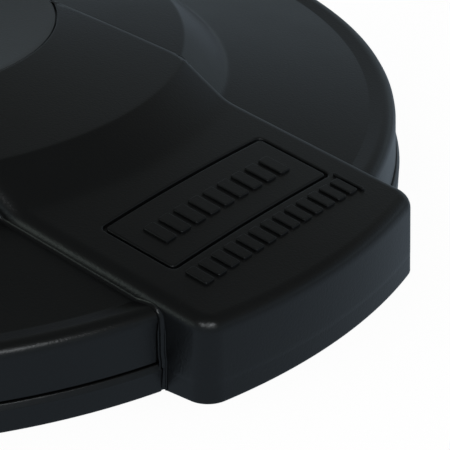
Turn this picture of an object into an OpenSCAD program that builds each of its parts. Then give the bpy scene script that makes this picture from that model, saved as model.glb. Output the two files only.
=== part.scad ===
// Round lid for a large waste container. A rim ring sits on the container's mouth.
// The domed cover stands on the ring and carries two carrying handles, whose straps
// run over the cover from a dished centre cap. Each strap holds a plain inlaid plate.
// The axis of the lid is Z, the lid stands on Z = 0 and the front handle points to -Y.

/* [Rim ring] */
// Outside diameter of the rim ring, the widest round part of the lid
rim_d = 570; // [540:1:620]
// Height of the rim ring's outer wall
ring_h = 14.8; // [13:0.1:20]
// Thickness of the rim ring's outer wall
ring_wall = 3.5; // [3:0.1:4.5]
// Reach of the ledge that lies on the container's mouth, inwards from the wall
ledge_w = 19.5; // [14:0.5:26]
// Thickness of that ledge
ledge_t = 4.2; // [3:0.1:5]
// Height of the collar that centres the cover, above the ledge
collar_h = 6.8; // [4:0.1:10]
// Thickness of the collar
collar_t = 3.8; // [2.5:0.1:5]

/* [Cover] */
// Thickness of the moulded cover
cover_t = 3.2; // [2.6:0.1:4]
// Distance from the ring's face in to the cover's face
step_in = 2.2; // [1:0.1:3]
// Height of the dark gap between the ring and the cover
seam_gap = 0.9; // [0.5:0.1:1.2]
// Height of the cover's rim
rim_h = 42.8; // [40:0.1:46]
// Width of the flat top of the rim
rim_flat_w = 11; // [8:0.5:16]
// Rise of that flat from its inner edge to its outer edge
rim_flat_rise = 0.9; // [0:0.1:2]
// Radius of the rim's rounded outer edge
rim_round = 4; // [2:0.5:6]
// Radius of the foot of the cone
cone_foot_r = 190; // [185:1:205]
// Rise of the outer slope, from the flat of the rim to the foot of the cone
slope_rise = 13.6; // [10:0.1:17]
// Radius of the top of the cone
cone_top_r = 167; // [160:1:172]
// Height of the cone
cone_rise = 20.6; // [16:0.1:26]
// Rise of the inner slope, from the top of the cone to the centre cap
crown_rise = 8.7; // [5:0.1:12]
// Number of stiffening ribs under the cover
rib_count = 12; // [6:2:12]
// Thickness of a rib
rib_t = 2.6; // [2:0.1:4]
// Depth of a rib below the cover
rib_h = 6; // [3:0.5:8]

/* [Handles] */
// Width of the strap at its end by the centre cap
strap_w = 164.4; // [150:0.1:180]
// Height of the strap above the inner slope
strap_rise_top = 1.5; // [1.2:0.1:3]
// Height of the strap above the foot of the cone
strap_rise_foot = 6; // [5:0.1:9]
// Height of the strap above the rim
strap_rise_rim = 3.8; // [3:0.1:6]
// How far the strap's cone stands outside the cover's cone at its top
strap_out_top = 3.8; // [2:0.1:6]
// How far it stands outside at its foot
strap_out_foot = 5.5; // [3:0.1:8]
// Thickness of the strap and the handle
handle_t = 3.4; // [3:0.1:4.2]
// Reach of the handle beyond the rim ring
handle_reach = 24; // [18:0.1:32]
// Slope of the walls of the strap and the handle, in degrees
draft = 2; // [0:0.1:5]
// Radius of the handle's corners in plan
corner_r = 13; // [8:0.5:20]
// Width of the groove beside each handle
groove_w = 2.4; // [1.5:0.1:4]
// Depth of that groove
groove_d = 1.6; // [0.8:0.1:2]

/* [Label plates] */
// Width of the plate inlaid in the strap
plate_w = 125; // [100:1:135]
// Length of the plate along the strap
plate_l = 45.5; // [36:0.5:50]
// Distance from the lid's axis to the middle of the plate
plate_pos = 236.3; // [232:0.1:240]
// Thickness of the plate
plate_t = 1.8; // [1.4:0.1:2.2]
// Width of the groove around the plate
plate_gap = 0.9; // [0.5:0.1:1.5]
// Height of the grip bars
bar_h = 0.8; // [0.4:0.1:1.2]
// Number of grip bars on the plate
plate_bars = 9; // [3:1:12]
// Number of grip bars on the strap, outside the plate
strap_bars = 13; // [5:1:16]

/* [Centre cap] */
// Diameter of the round opening that the cap fills
cap_d = 196; // [180:1:210]
// Gap around the cap
cap_gap = 0.6; // [0.3:0.1:1]
// How far the cap's edge lies below the strap
cap_sink = 0.5; // [0.3:0.1:1]
// Depth of the dish
cap_dish = 4; // [2:0.5:6]
// Thickness of the cap
cap_t = 2.4; // [2:0.1:3]
// Depth of the well under the cap, below its edge
well_depth = 12; // [10:0.5:16]

/* [Screws] */
// Diameter of a screw's shank
screw_d = 4; // [3:0.1:5]
// Diameter of a screw's head
head_d = 8; // [7:0.1:10]
// Height of a screw's head
head_h = 2.4; // [2:0.1:3]
// Distance of the inner screws from the lid's middle plane
screw_in_x = 40; // [30:1:50]
// Distance of the inner screws from the lid's axis, along the strap
screw_in_y = 204; // [201:1:206]
// Distance of the outer screws from the lid's middle plane
screw_out_x = 72; // [70:1:73]
// Distance of the outer screws from the lid's axis, along the strap
screw_out_y = 240; // [230:1:245]

/* [Hidden] */
$fn = 180;
arc_steps = 6;        // chords of a rounded edge
dish_steps = 10;      // rings of the dished cap
clear = 0.3;          // running clearance between pieces
screw_clear = 0.05;   // radial clearance of a screw in its boss
hole_clear = 0.4;     // radial clearance of a screw in the cover
boss_wall = 3;        // wall around a screw in its boss
pad_lap = 0.5;        // how far joined forms run into each other
skin = 1.6;           // plastic left above a blind screw hole
above = 40;           // height of the cutting solids above the cover
bar_l = 15;           // length of a grip bar on the plate
strap_bar_l = 13;     // length of a grip bar on the strap
strap_bar_off = 5;    // distance from the plate to the strap's bars
bar_fill = 0.66;      // share of the bar's pitch that the bar fills
bar_margin = 12;      // bare width of the plate beside the bars
well_lip = 6;         // width of the seat that the cap rests on
lip_clear = 0.5;      // clearance around the cap's seat

ring_r = rim_d / 2;
cover_r = ring_r - step_in;
crease_r = cover_r - rim_round - rim_flat_w;
crease_h = rim_h - rim_flat_rise;
cone_foot_h = crease_h + slope_rise;
cone_top_h = cone_foot_h + cone_rise;
cap_r = cap_d / 2;
crown_h = cone_top_h + crown_rise;
collar_ro = cover_r - cover_t - clear;
collar_ri = collar_ro - collar_t;
seat_h = ring_h + collar_h;
strap_cap_h = crown_h + strap_rise_top;
strap_rim_h = rim_h + strap_rise_rim;
handle_r = ring_r + handle_reach;
strap_fall = (cone_foot_h + strap_rise_foot - strap_rim_h) / (ring_r - cone_foot_r - strap_out_foot);
strap_end_r = handle_r + pad_lap;
strap_end_h = strap_rim_h - strap_fall * (strap_end_r - ring_r);
handle_hw = strap_w / 2 + tan(draft) * strap_cap_h;
cap_edge_h = strap_cap_h - cap_sink;
cap_seat_h = cap_edge_h - cap_t;
well_r = cap_r - well_lip;
well_h = cap_edge_h - well_depth;
screw_spots = [for (sx = [-1, 1]) each [[sx * screw_in_x, -screw_in_y], [sx * screw_out_x, -screw_out_y]]];

// Outline of the cover's upper face, from the cap's opening to the rounded edge
cover_line = [[cap_r + lip_clear, crown_h], [cone_top_r, cone_top_h], [cone_foot_r, cone_foot_h],
    [crease_r, crease_h], [cover_r - rim_round, rim_h]];
// Outline of the strap's upper face
strap_line = [[cap_r, strap_cap_h], [cone_top_r + strap_out_top, cone_top_h + strap_rise_top],
    [cone_foot_r + strap_out_foot, cone_foot_h + strap_rise_foot], [strap_end_r, strap_end_h]];

// Height of the cover's and the strap's upper faces at a distance r from the axis
function cover_z(r) = lookup(r, cover_line);
function strap_z(r) = lookup(r, strap_line);
function down(line, d) = [for (p = line) [p[0], p[1] - d]];
function reversed(line) = [for (i = [len(line) - 1:-1:0]) line[i]];
function arc(cx, cz, r, from, to) =
    [for (i = [0:arc_steps]) let (a = from + (to - from) * i / arc_steps) [cx + r * cos(a), cz + r * sin(a)]];

// Everything between a foot height and the strap's upper face, lowered by drop
module below_strap(drop, foot = -pad_lap) {
    line = down(strap_line, drop);
    rotate_extrude()
        polygon(concat(line, [[strap_end_r, foot], [cap_r, foot]]));
}

// Everything that the handles stay clear of: the cover, the ring and the cap
module lid_space() {
    rotate_extrude()
        polygon(concat([[0, -2 * pad_lap], [ring_r + clear, -2 * pad_lap], [ring_r + clear, ring_h + seam_gap],
            [cover_r + clear, ring_h + seam_gap]],
            arc(cover_r - rim_round, rim_h - rim_round, rim_round + clear, 0, 90),
            reversed(down(cover_line, -clear)), [[0, crown_h + clear]]));
}

// Plan of a handle and its strap, drawn in by inset, as a solid with sloping walls
module handle_form(inset) {
    slope = tan(draft);
    tall = strap_cap_h + pad_lap;
    hw = handle_hw - inset;
    corner = corner_r - inset;
    cx = hw - corner;
    cy = sqrt(pow(handle_r - inset - corner, 2) - cx * cx);
    // The walls from the centre to the corners
    rotate([90, 0, 0])
        linear_extrude(cy)
            polygon([[-hw - slope * pad_lap, -pad_lap], [hw + slope * pad_lap, -pad_lap],
                [hw - slope * tall, tall], [slope * tall - hw, tall]]);
    // The rounded corners
    for (sx = [-1, 1])
        translate([sx * cx, -cy, -pad_lap])
            cylinder(h = tall + pad_lap, r1 = corner + slope * pad_lap, r2 = corner - slope * tall);
    // The curved front between the corners
    intersection() {
        rotate_extrude()
            polygon([[0, -pad_lap], [handle_r - inset + slope * pad_lap, -pad_lap],
                [handle_r - inset - slope * tall, tall], [0, tall]]);
        translate([0, 0, -pad_lap]) linear_extrude(tall + 2 * pad_lap)
            polygon([[0, 0], [-cx * 1.2, -cy * 1.2], [cx * 1.2, -cy * 1.2]]);
    }
}

// Outline of the plate's recess or of the plate, drawn in by inset
module plate_block(inset) {
    translate([inset - plate_w / 2, inset - plate_pos - plate_l / 2, 0])
        cube([plate_w - 2 * inset, plate_l - 2 * inset, above + crown_h]);
}

// A row of grip bars across the strap, centred on y
module bar_row(count, span, bar_len, y) {
    pitch = span / count;
    for (i = [0:count - 1])
        translate([(i + 0.5) * pitch - span / 2 - pitch * bar_fill / 2, y - bar_len / 2, 0])
            cube([pitch * bar_fill, bar_len, above + crown_h]);
}

// Grip bars that stand on the strap's face
module grip_bars(count, span, bar_len, y) {
    difference() {
        intersection() {
            bar_row(count, span, bar_len, y);
            below_strap(-bar_h);
        }
        below_strap(pad_lap);
    }
}

// A grip handle with its strap, pointing to -Y
module handle() {
    difference() {
        intersection() {
            handle_form(0);
            below_strap(0, 0);
        }
        lid_space();
        difference() {
            intersection() {
                handle_form(handle_t);
                below_strap(handle_t);
            }
            for (p = screw_spots)
                translate([p[0], p[1], 0]) cylinder(h = crown_h, r = screw_d / 2 + boss_wall, $fn = 48);
        }
        intersection() {
            plate_block(0);
            difference() {
                below_strap(-above);
                below_strap(plate_t + clear);
            }
        }
        for (p = screw_spots)
            translate([p[0], p[1], 0])
                cylinder(h = strap_z(norm(p)) - skin, r = screw_d / 2 + screw_clear, $fn = 48);
    }
    grip_bars(strap_bars, plate_w - plate_gap, strap_bar_l,
        -plate_pos - plate_l / 2 - strap_bar_off - strap_bar_l / 2);
}

// The plate inlaid in a strap, with its grip bars
module label_plate() {
    difference() {
        intersection() {
            plate_block(plate_gap);
            below_strap(0);
        }
        below_strap(plate_t);
    }
    grip_bars(plate_bars, plate_w - 2 * bar_margin, bar_l, -plate_pos);
}

// The groove beside a handle, cut into the ring and the cover
module handle_grooves() {
    for (turn = [0, 180], sx = [-1, 1])
        rotate([0, 0, turn])
            intersection() {
                translate([sx * (handle_hw + groove_w / 2) - groove_w / 2, -ring_r, -pad_lap])
                    cube([groove_w, cone_foot_r, rim_h - rim_round + pad_lap]);
                difference() {
                    cylinder(h = rim_h, r = ring_r + pad_lap);
                    translate([0, 0, -pad_lap]) cylinder(h = ring_h + pad_lap, r = ring_r - groove_d);
                    cylinder(h = rim_h, r = cover_r - groove_d);
                }
            }
}

module rim_ring() {
    inner_r = ring_r - ring_wall;
    color([0.11, 0.12, 0.13]) difference() {
        rotate_extrude()
            polygon([[inner_r, 0], [ring_r, 0], [ring_r, ring_h], [collar_ro, ring_h], [collar_ro, seat_h],
                [collar_ri, seat_h], [collar_ri, ring_h], [inner_r - ledge_w, ring_h],
                [inner_r - ledge_w, ring_h - ledge_t], [inner_r, ring_h - ledge_t]]);
        handle_grooves();
    }
}

// A pad under the cover that gives a screw's head a flat seat
function pad_z(p) = cover_z(norm(p) + head_d / 2 + boss_wall) - cover_t - pad_lap;

module cover_body() {
    under = down(cover_line, cover_t);
    rotate_extrude()
        polygon(concat(
            [[0, well_h], [well_r, well_h], [well_r, cap_seat_h], [cap_r + lip_clear, cap_seat_h]],
            cover_line,
            arc(cover_r - rim_round, rim_h - rim_round, rim_round, 90, 0),
            [[cover_r, ring_h + seam_gap], [cover_r - cover_t, ring_h + seam_gap], [cover_r - cover_t, seat_h],
                [collar_ri, seat_h], [collar_ri, rim_h - cover_t - rim_flat_rise]],
            [for (i = [3:-1:1]) under[i]],
            [[cap_r + lip_clear + cover_t, crown_h - cover_t], [cap_r + lip_clear + cover_t, cap_seat_h - cover_t],
                [well_r + cover_t, cap_seat_h - cover_t], [well_r + cover_t, well_h - cover_t],
                [0, well_h - cover_t]]));
    for (turn = [0, 180]) rotate([0, 0, turn]) for (p = screw_spots)
        translate([p[0], p[1], pad_z(p)])
            cylinder(h = cover_z(norm(p)) - pad_z(p) - cover_t / 2, r = head_d / 2 + boss_wall / 2, $fn = 48);
    for (i = [0:rib_count - 1])
        intersection() {
            rotate([0, 0, 360 / rib_count * i]) translate([0, -rib_t / 2, 0]) cube([ring_r, rib_t, crown_h]);
            rotate_extrude()
                polygon([[cone_foot_r + cover_t, cover_z(cone_foot_r + cover_t) - cover_t / 2],
                    [crease_r, crease_h - cover_t / 2], [crease_r, crease_h - cover_t - rib_h],
                    [cone_foot_r + cover_t, cover_z(cone_foot_r + cover_t) - cover_t - rib_h]]);
        }
}

module cover_shell() {
    color([0.13, 0.14, 0.15]) difference() {
        cover_body();
        for (turn = [0, 180]) rotate([0, 0, turn]) for (p = screw_spots)
            translate([p[0], p[1], 0]) cylinder(h = crown_h + above, r = screw_d / 2 + hole_clear, $fn = 48);
        cylinder(h = crown_h, r = screw_d / 2 + hole_clear, $fn = 48);
        handle_grooves();
    }
}

module front_handle() {
    color([0.12, 0.13, 0.14]) handle();
}

module rear_handle() {
    color([0.12, 0.13, 0.14]) rotate([0, 0, 180]) handle();
}

module front_label_plate() {
    color([0.14, 0.15, 0.15]) label_plate();
}

module rear_label_plate() {
    color([0.14, 0.15, 0.15]) rotate([0, 0, 180]) label_plate();
}

// The dished cap, with a boss that its screw runs into
module centre_cap() {
    edge_r = cap_r - cap_gap;
    dish = [for (i = [0:dish_steps]) let (r = edge_r * i / dish_steps)
        [r, cap_edge_h - cap_dish * (1 - pow(r / edge_r, 2))]];
    color([0.22, 0.23, 0.24]) difference() {
        union() {
            rotate_extrude()
                polygon(concat(dish, [[edge_r, cap_seat_h], [well_r - clear, cap_seat_h]],
                    [for (i = [dish_steps - 1:-1:0]) [dish[i][0], dish[i][1] - cap_t]]));
            translate([0, 0, well_h]) cylinder(h = well_depth - cap_dish - cap_t / 2, r = screw_d / 2 + boss_wall, $fn = 48);
        }
        translate([0, 0, well_h - pad_lap])
            cylinder(h = well_depth - cap_dish - skin + pad_lap, r = screw_d / 2 + screw_clear, $fn = 48);
    }
}

// A pan-head screw pointing up, its head's bearing face at z = 0
module screw(len) {
    translate([0, 0, -head_h]) cylinder(h = head_h, d = head_d, $fn = 48);
    cylinder(h = len, d = screw_d, $fn = 48);
}

module handle_screws() {
    color([0.45, 0.45, 0.46])
        for (turn = [0, 180]) rotate([0, 0, turn]) for (p = screw_spots)
            translate([p[0], p[1], pad_z(p)]) screw(strap_z(norm(p)) - pad_z(p) - skin - clear);
}

module cap_screw() {
    color([0.45, 0.45, 0.46])
        translate([0, 0, well_h - cover_t]) screw(cover_t + well_depth - cap_dish - skin - clear);
}

rim_ring();
cover_shell();
front_handle();
rear_handle();
front_label_plate();
rear_label_plate();
centre_cap();
handle_screws();
cap_screw();
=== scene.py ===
"""Visual model of a round waste-container lid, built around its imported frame.

The lid's axis is Z, it stands on Z = 0 and its front handle points to -Y. Every new piece is a surface
worked out with numpy, in metres, in the frame's own axes.
"""

import logging
import math
from collections.abc import Callable
from dataclasses import dataclass
from enum import Enum

import bpy
import numpy as np
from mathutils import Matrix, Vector

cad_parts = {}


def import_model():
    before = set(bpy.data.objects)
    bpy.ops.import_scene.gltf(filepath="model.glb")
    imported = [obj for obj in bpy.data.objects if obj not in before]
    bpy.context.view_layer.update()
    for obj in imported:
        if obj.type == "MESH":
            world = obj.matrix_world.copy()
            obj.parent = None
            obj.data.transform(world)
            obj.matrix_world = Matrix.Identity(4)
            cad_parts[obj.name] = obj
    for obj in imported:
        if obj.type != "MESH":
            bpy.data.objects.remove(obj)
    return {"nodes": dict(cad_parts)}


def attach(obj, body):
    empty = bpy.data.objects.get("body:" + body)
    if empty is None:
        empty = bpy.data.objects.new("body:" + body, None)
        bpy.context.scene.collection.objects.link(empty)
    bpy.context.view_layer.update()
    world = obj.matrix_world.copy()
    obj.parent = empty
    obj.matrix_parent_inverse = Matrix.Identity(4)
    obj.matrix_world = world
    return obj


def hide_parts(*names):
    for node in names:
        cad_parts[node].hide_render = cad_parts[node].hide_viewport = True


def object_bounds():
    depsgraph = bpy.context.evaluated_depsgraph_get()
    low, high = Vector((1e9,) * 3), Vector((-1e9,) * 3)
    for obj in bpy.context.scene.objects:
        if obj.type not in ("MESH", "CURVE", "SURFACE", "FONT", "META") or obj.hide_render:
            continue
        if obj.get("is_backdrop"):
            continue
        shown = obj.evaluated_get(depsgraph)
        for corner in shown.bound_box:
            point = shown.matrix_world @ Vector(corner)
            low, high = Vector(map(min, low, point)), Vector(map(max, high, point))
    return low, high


MM = 0.001
LOG = logging.getLogger("container_lid")

EDGE_STEPS = 5
UP = np.array([0.0, 0.0, 1.0])

Array = np.ndarray
Colour = tuple[float, float, float]
HeightOver = Callable[[Array, Array], Array]


class Body(Enum):
    """The lid's two rigid bodies."""

    RING = "ring"
    COVER = "cover"


class Slot(Enum):
    """Material slots of the lid's record."""

    RING = "ring_plastic"
    COVER = "cover_plastic"
    HANDLE = "handle_plastic"
    PLATE = "plate_plastic"
    CAP = "cap_plastic"
    SCREW = "screw_steel"


class GrainMask(Enum):
    """Outputs of the shared grain group that a finish's roughness can follow."""

    CLOUD = "Cloud"
    SPECKLE = "Speckle"


class LidEnd(Enum):
    """The end of the lid that a handle stands on, with the sign that turns the front's shapes there."""

    FRONT = 1.0
    REAR = -1.0

    def turned(self, points: Array) -> Array:
        """The front's points, turned half round the lid's axis for the rear."""
        return points * np.array([self.value, self.value, 1.0])


# ---------------------------------------------------------------------------------------------
# Surfaces
# ---------------------------------------------------------------------------------------------


def grid_quads(rows: int, cols: int, wrap_rows: bool = False, wrap_cols: bool = False) -> Array:
    """Faces of a grid of points that is numbered row by row.

    Args:
        rows: Number of rows of points.
        cols: Number of points in a row.
        wrap_rows: Whether the last row joins the first.
        wrap_cols: Whether the last column joins the first.

    Returns:
        Four point numbers for each face.
    """
    last_row, last_col = (rows if wrap_rows else rows - 1), (cols if wrap_cols else cols - 1)
    i, j = np.meshgrid(np.arange(last_row), np.arange(last_col), indexing="ij")
    below, right = (i + 1) % rows, (j + 1) % cols
    faces = [i * cols + j, i * cols + right, below * cols + right, below * cols + j]
    return np.stack(faces, -1).reshape(-1, 4)


def strip_quads(inner: Array, outer: Array, wrap: bool = False) -> Array:
    """Faces between two lines of points that run side by side round a grid.

    Args:
        inner: Point numbers of the line next to the grid.
        outer: Point numbers of the next line out.
        wrap: Whether the lines close on themselves.

    Returns:
        Four point numbers for each face, wound as the grid inside them.
    """
    if wrap:
        inner, outer = np.append(inner, inner[0]), np.append(outer, outer[0])
    return np.stack([inner[1:], inner[:-1], outer[:-1], outer[1:]], -1)


def grid_rim(rows: int, cols: int) -> Array:
    """Point numbers round a grid: along row 0, up the last column, back, and down column 0.

    Args:
        rows: Number of rows of points.
        cols: Number of points in a row.

    Returns:
        Each number once, in that order.
    """
    first = np.arange(cols)
    right = np.arange(1, rows) * cols + cols - 1
    last = (rows - 1) * cols + np.arange(cols - 2, -1, -1)
    left = np.arange(rows - 2, 0, -1) * cols
    return np.concatenate([first, right, last, left])


def crowded(count: int) -> Array:
    """Values from -1 to 1 that lie close together at both ends, as the sine of even steps."""
    return np.sin(np.linspace(-math.pi / 2, math.pi / 2, count))


def smooth_step(value: Array) -> Array:
    """0 below 0, 1 above 1, and 3t^2 - 2t^3 between."""
    t = np.clip(value, 0.0, 1.0)
    return t * t * (3 - 2 * t)


def rounded(corners: list[tuple[float, float, float]], steps: int = 6, hold: float = 1.0 * MM) -> Array:
    """A closed outline whose corners are arcs.

    Each arc touches both sides of its corner. Its points are the centre plus the radius times a direction
    that turns evenly from one touching point to the other. A point on each side, a little way past the arc,
    keeps the flat beside it flat.

    Args:
        corners: Two coordinates and a radius for each corner, in order.
        steps: Points on each arc.
        hold: Distance from an arc to the point that holds its flat.

    Returns:
        The outline's points, one row each.
    """
    table = np.array(corners)
    here, radius = table[:, :2], table[:, 2:]
    to_last, to_next = np.roll(here, 1, 0) - here, np.roll(here, -1, 0) - here
    last_len, next_len = (np.linalg.norm(v, axis=1, keepdims=True) for v in (to_last, to_next))
    to_last, to_next = to_last / last_len, to_next / next_len
    half = np.arccos(np.clip((to_last * to_next).sum(1, keepdims=True), -1, 1)) / 2
    reach = radius / np.tan(half)
    middle = to_last + to_next
    centre = here + middle / np.linalg.norm(middle, axis=1, keepdims=True) * radius / np.sin(half)
    start, stop = here + to_last * reach, here + to_next * reach
    turn = (math.pi - 2 * half)[:, None]
    share = np.linspace(0, 1, steps)[None, :, None]
    out_first, out_last = (start - centre)[:, None], (stop - centre)[:, None]
    swung = np.sin((1 - share) * turn) * out_first + np.sin(share * turn) * out_last
    arcs = centre[:, None] + swung / np.sin(turn)
    free_last = last_len - reach - np.roll(reach, 1, 0)
    free_next = next_len - reach - np.roll(reach, -1, 0)
    before = start + to_last * np.minimum(hold, free_last / 3)
    after = stop + to_next * np.minimum(hold, free_next / 3)
    return np.concatenate([before[:, None], arcs, after[:, None]], 1).reshape(-1, 2)


def densified(line: Array, step: float) -> Array:
    """A line with points added so that none of its spans is longer than step.

    Args:
        line: The line's points, one row each.
        step: Longest distance between neighbours.

    Returns:
        The old and the new points, in order.
    """
    spans = np.linalg.norm(np.diff(line, axis=0), axis=1)
    along = np.concatenate([[0.0], np.cumsum(spans)])
    extra = np.arange(0.0, along[-1], step)
    places = np.unique(np.round(np.concatenate([along, extra]), 7))
    return np.stack([np.interp(places, along, line[:, k]) for k in range(line.shape[1])], 1)


@dataclass(frozen=True)
class SoftLine:
    """Height over the lid's radius: straight slopes that bend softly into each other.

    The height is the first slope's line plus, at each bend, the change of slope times
    (x + sqrt(x^2 + w^2)) / 2, where x is the distance past the bend and w is its softness.
    """

    knots: tuple[tuple[float, float], ...]
    softness: tuple[float, ...]

    def height(self, radius: Array) -> Array:
        """Height of the line.

        Args:
            radius: Radii at which it is wanted.

        Returns:
            A height for each radius.
        """
        knots = np.array(self.knots)
        slopes = np.diff(knots[:, 1]) / np.diff(knots[:, 0])
        past = np.asarray(radius)[..., None] - knots[1:-1, 0]
        bends = (past + np.sqrt(past**2 + np.array(self.softness) ** 2)) / 2
        return knots[0, 1] + slopes[0] * (radius - knots[0, 0]) + (bends * np.diff(slopes)).sum(-1)


class ShellBuilder:
    """Collects closed shells and makes them one mesh object with smooth shading."""

    def __init__(self) -> None:
        """Starts with no shells."""
        self.points: list[Array] = []
        self.faces: list[Array] = []
        self.count = 0

    def add(self, points: Array, faces: list[Array]) -> None:
        """Adds one closed shell and turns its faces outwards.

        The shell's volume is a sixth of the sum, over its triangles, of the product of the three corners.
        Where it comes out negative, every face is turned round.

        Args:
            points: The shell's points, one row each.
            faces: Arrays of faces that number those points, each array with its own count of corners.
        """
        fans = np.concatenate(
            [np.stack([f[:, 0], f[:, k], f[:, k + 1]], 1) for f in faces for k in range(1, f.shape[1] - 1)]
        )
        a, b, c = (points[fans[:, k]] for k in range(3))
        volume = np.einsum("ij,ij->i", a, np.cross(b, c)).sum()
        step = 1 if volume > 0 else -1
        self.points.append(points)
        self.faces.extend(f[:, ::step] + self.count for f in faces)
        self.count += len(points)

    def build(self, name: str, sharp: float = math.radians(38)) -> bpy.types.Object:
        """Makes the mesh object.

        Args:
            name: The object's name.
            sharp: Angle between faces above which their edge is shaded as sharp.

        Returns:
            The new object, at the origin.
        """
        points = np.concatenate(self.points)
        corners = np.concatenate([f.ravel() for f in self.faces])
        totals = np.concatenate([np.full(len(f), f.shape[1]) for f in self.faces])
        mesh = bpy.data.meshes.new(name)
        mesh.vertices.add(len(points))
        mesh.vertices.foreach_set("co", points.astype(np.float32).ravel())
        mesh.loops.add(len(corners))
        mesh.loops.foreach_set("vertex_index", corners.astype(np.int32))
        mesh.polygons.add(len(totals))
        mesh.polygons.foreach_set("loop_start", (np.cumsum(totals) - totals).astype(np.int32))
        mesh.update(calc_edges=True)
        mesh.validate()
        mesh.shade_smooth()
        mesh.set_sharp_from_angle(angle=sharp)
        piece = bpy.data.objects.new(name, mesh)
        bpy.context.scene.collection.objects.link(piece)
        return piece


def add_ring_solid(builder: ShellBuilder, profile: Array, angles: Array, cut: Array) -> None:
    """Adds a closed profile carried once round the lid's axis.

    A point is (r sin a, -r cos a, z), where r is the profile's radius less the cut and a the angle from
    the front.

    Args:
        builder: Takes the shell.
        profile: Closed outline of radius and height, one row each.
        angles: Angles of the columns, in order.
        cut: How far the surface is drawn inwards, for each row and column.
    """
    radius = profile[:, :1] - cut
    height = np.broadcast_to(profile[:, 1:], radius.shape)
    points = np.stack([radius * np.sin(angles), -radius * np.cos(angles), height], -1)
    builder.add(points.reshape(-1, 3), [grid_quads(len(profile), len(angles), True, True)])


def add_turned_solid(
    builder: ShellBuilder, line: Array, at: Array, count: int = 48, dent: HeightOver | None = None
) -> None:
    """Adds a solid turned about an upright axis, from a line that starts and ends on the axis.

    A point is (r cos a, r sin a, z) for even steps of the angle a, with the dent's height added.

    Args:
        builder: Takes the shell.
        line: Radius and height of each point. The first and last lie on the axis.
        at: Where the axis meets height 0.
        count: Points round the solid.
        dent: Height to add over the plane, for a recess in the line's first half.
    """
    angles = np.arange(count) * 2 * math.pi / count
    ring = line[1:-1, :1]
    x, y = ring * np.cos(angles), ring * np.sin(angles)
    z = np.broadcast_to(line[1:-1, 1:], x.shape).copy()
    first = line[0, 1]
    if dent is not None:
        rows = len(line) // 2
        z[:rows] += dent(x[:rows], y[:rows])
        first += float(dent(np.zeros(1), np.zeros(1))[0])
    body = np.stack([x, y, z], -1).reshape(-1, 3)
    points = np.concatenate([body, [[0.0, 0.0, first], [0.0, 0.0, line[-1, 1]]]]) + at
    rows = len(line) - 2
    start, stop = np.arange(count), (rows - 1) * count + np.arange(count)
    bottom = np.stack([np.roll(start, -1), start, np.full(count, rows * count)], -1)
    top = np.stack([stop, np.roll(stop, -1), np.full(count, rows * count + 1)], -1)
    builder.add(points, [grid_quads(rows, count, False, True), bottom, top])


def add_sweep(builder: ShellBuilder, sections: Array) -> None:
    """Adds a closed profile carried along a path, with both ends closed by one face each.

    Args:
        builder: Takes the shell.
        sections: Points of the profile at each place on the path, in that order.
    """
    places, size = sections.shape[:2]
    first = np.arange(size)[::-1][None]
    last = (places - 1) * size + np.arange(size)[None]
    builder.add(sections.reshape(-1, 3), [grid_quads(places, size, False, True), first, last])


# ---------------------------------------------------------------------------------------------
# Rounded rectangles
# ---------------------------------------------------------------------------------------------


def side_curve(share: Array, half_along: float, half_across: float, corner: float) -> tuple[Array, Array]:
    """One side of a rounded rectangle with half of each corner's arc.

    Args:
        share: Place along the side, from -1 to 1, where the ends are the middles of the two arcs.
        half_along: Half of the rectangle's length along this side.
        half_across: Half of its length across.
        corner: Radius of its corners.

    Returns:
        Points and outward normals, each with its part along the side and its part outwards.
    """
    flat = half_along - corner
    distance = np.abs(share) * (flat + corner * math.pi / 4)
    turn = np.maximum(distance - flat, 0.0) / corner
    along = np.sign(share) * (np.minimum(distance, flat) + corner * np.sin(turn))
    across = half_across - corner + corner * np.cos(turn)
    return np.stack([along, across], 1), np.stack([np.sign(share) * np.sin(turn), np.cos(turn)], 1)


def rounded_rectangle(
    cols: Array, rows: Array, half_w: float, half_l: float, corner: float
) -> tuple[Array, Array]:
    """Points and normals of a rounded rectangle in the order of grid_rim.

    Args:
        cols: Places of a grid's columns, from -1 to 1.
        rows: Places of its rows, from -1 to 1.
        half_w: Half of the width, along x.
        half_l: Half of the length, along y.
        corner: Radius of the corners.

    Returns:
        Points and outward normals about the rectangle's middle.
    """
    sides = (
        (cols, half_w, half_l, np.array([[1, 0], [0, -1]])),
        (rows[1:], half_l, half_w, np.array([[0, 1], [1, 0]])),
        (cols[-2::-1], half_w, half_l, np.array([[1, 0], [0, 1]])),
        (rows[-2:0:-1], half_l, half_w, np.array([[0, 1], [-1, 0]])),
    )
    curves = [
        tuple(part @ turn for part in side_curve(share, along, across, corner))
        for share, along, across, turn in sides
    ]
    return np.concatenate([c[0] for c in curves]), np.concatenate([c[1] for c in curves])


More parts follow.
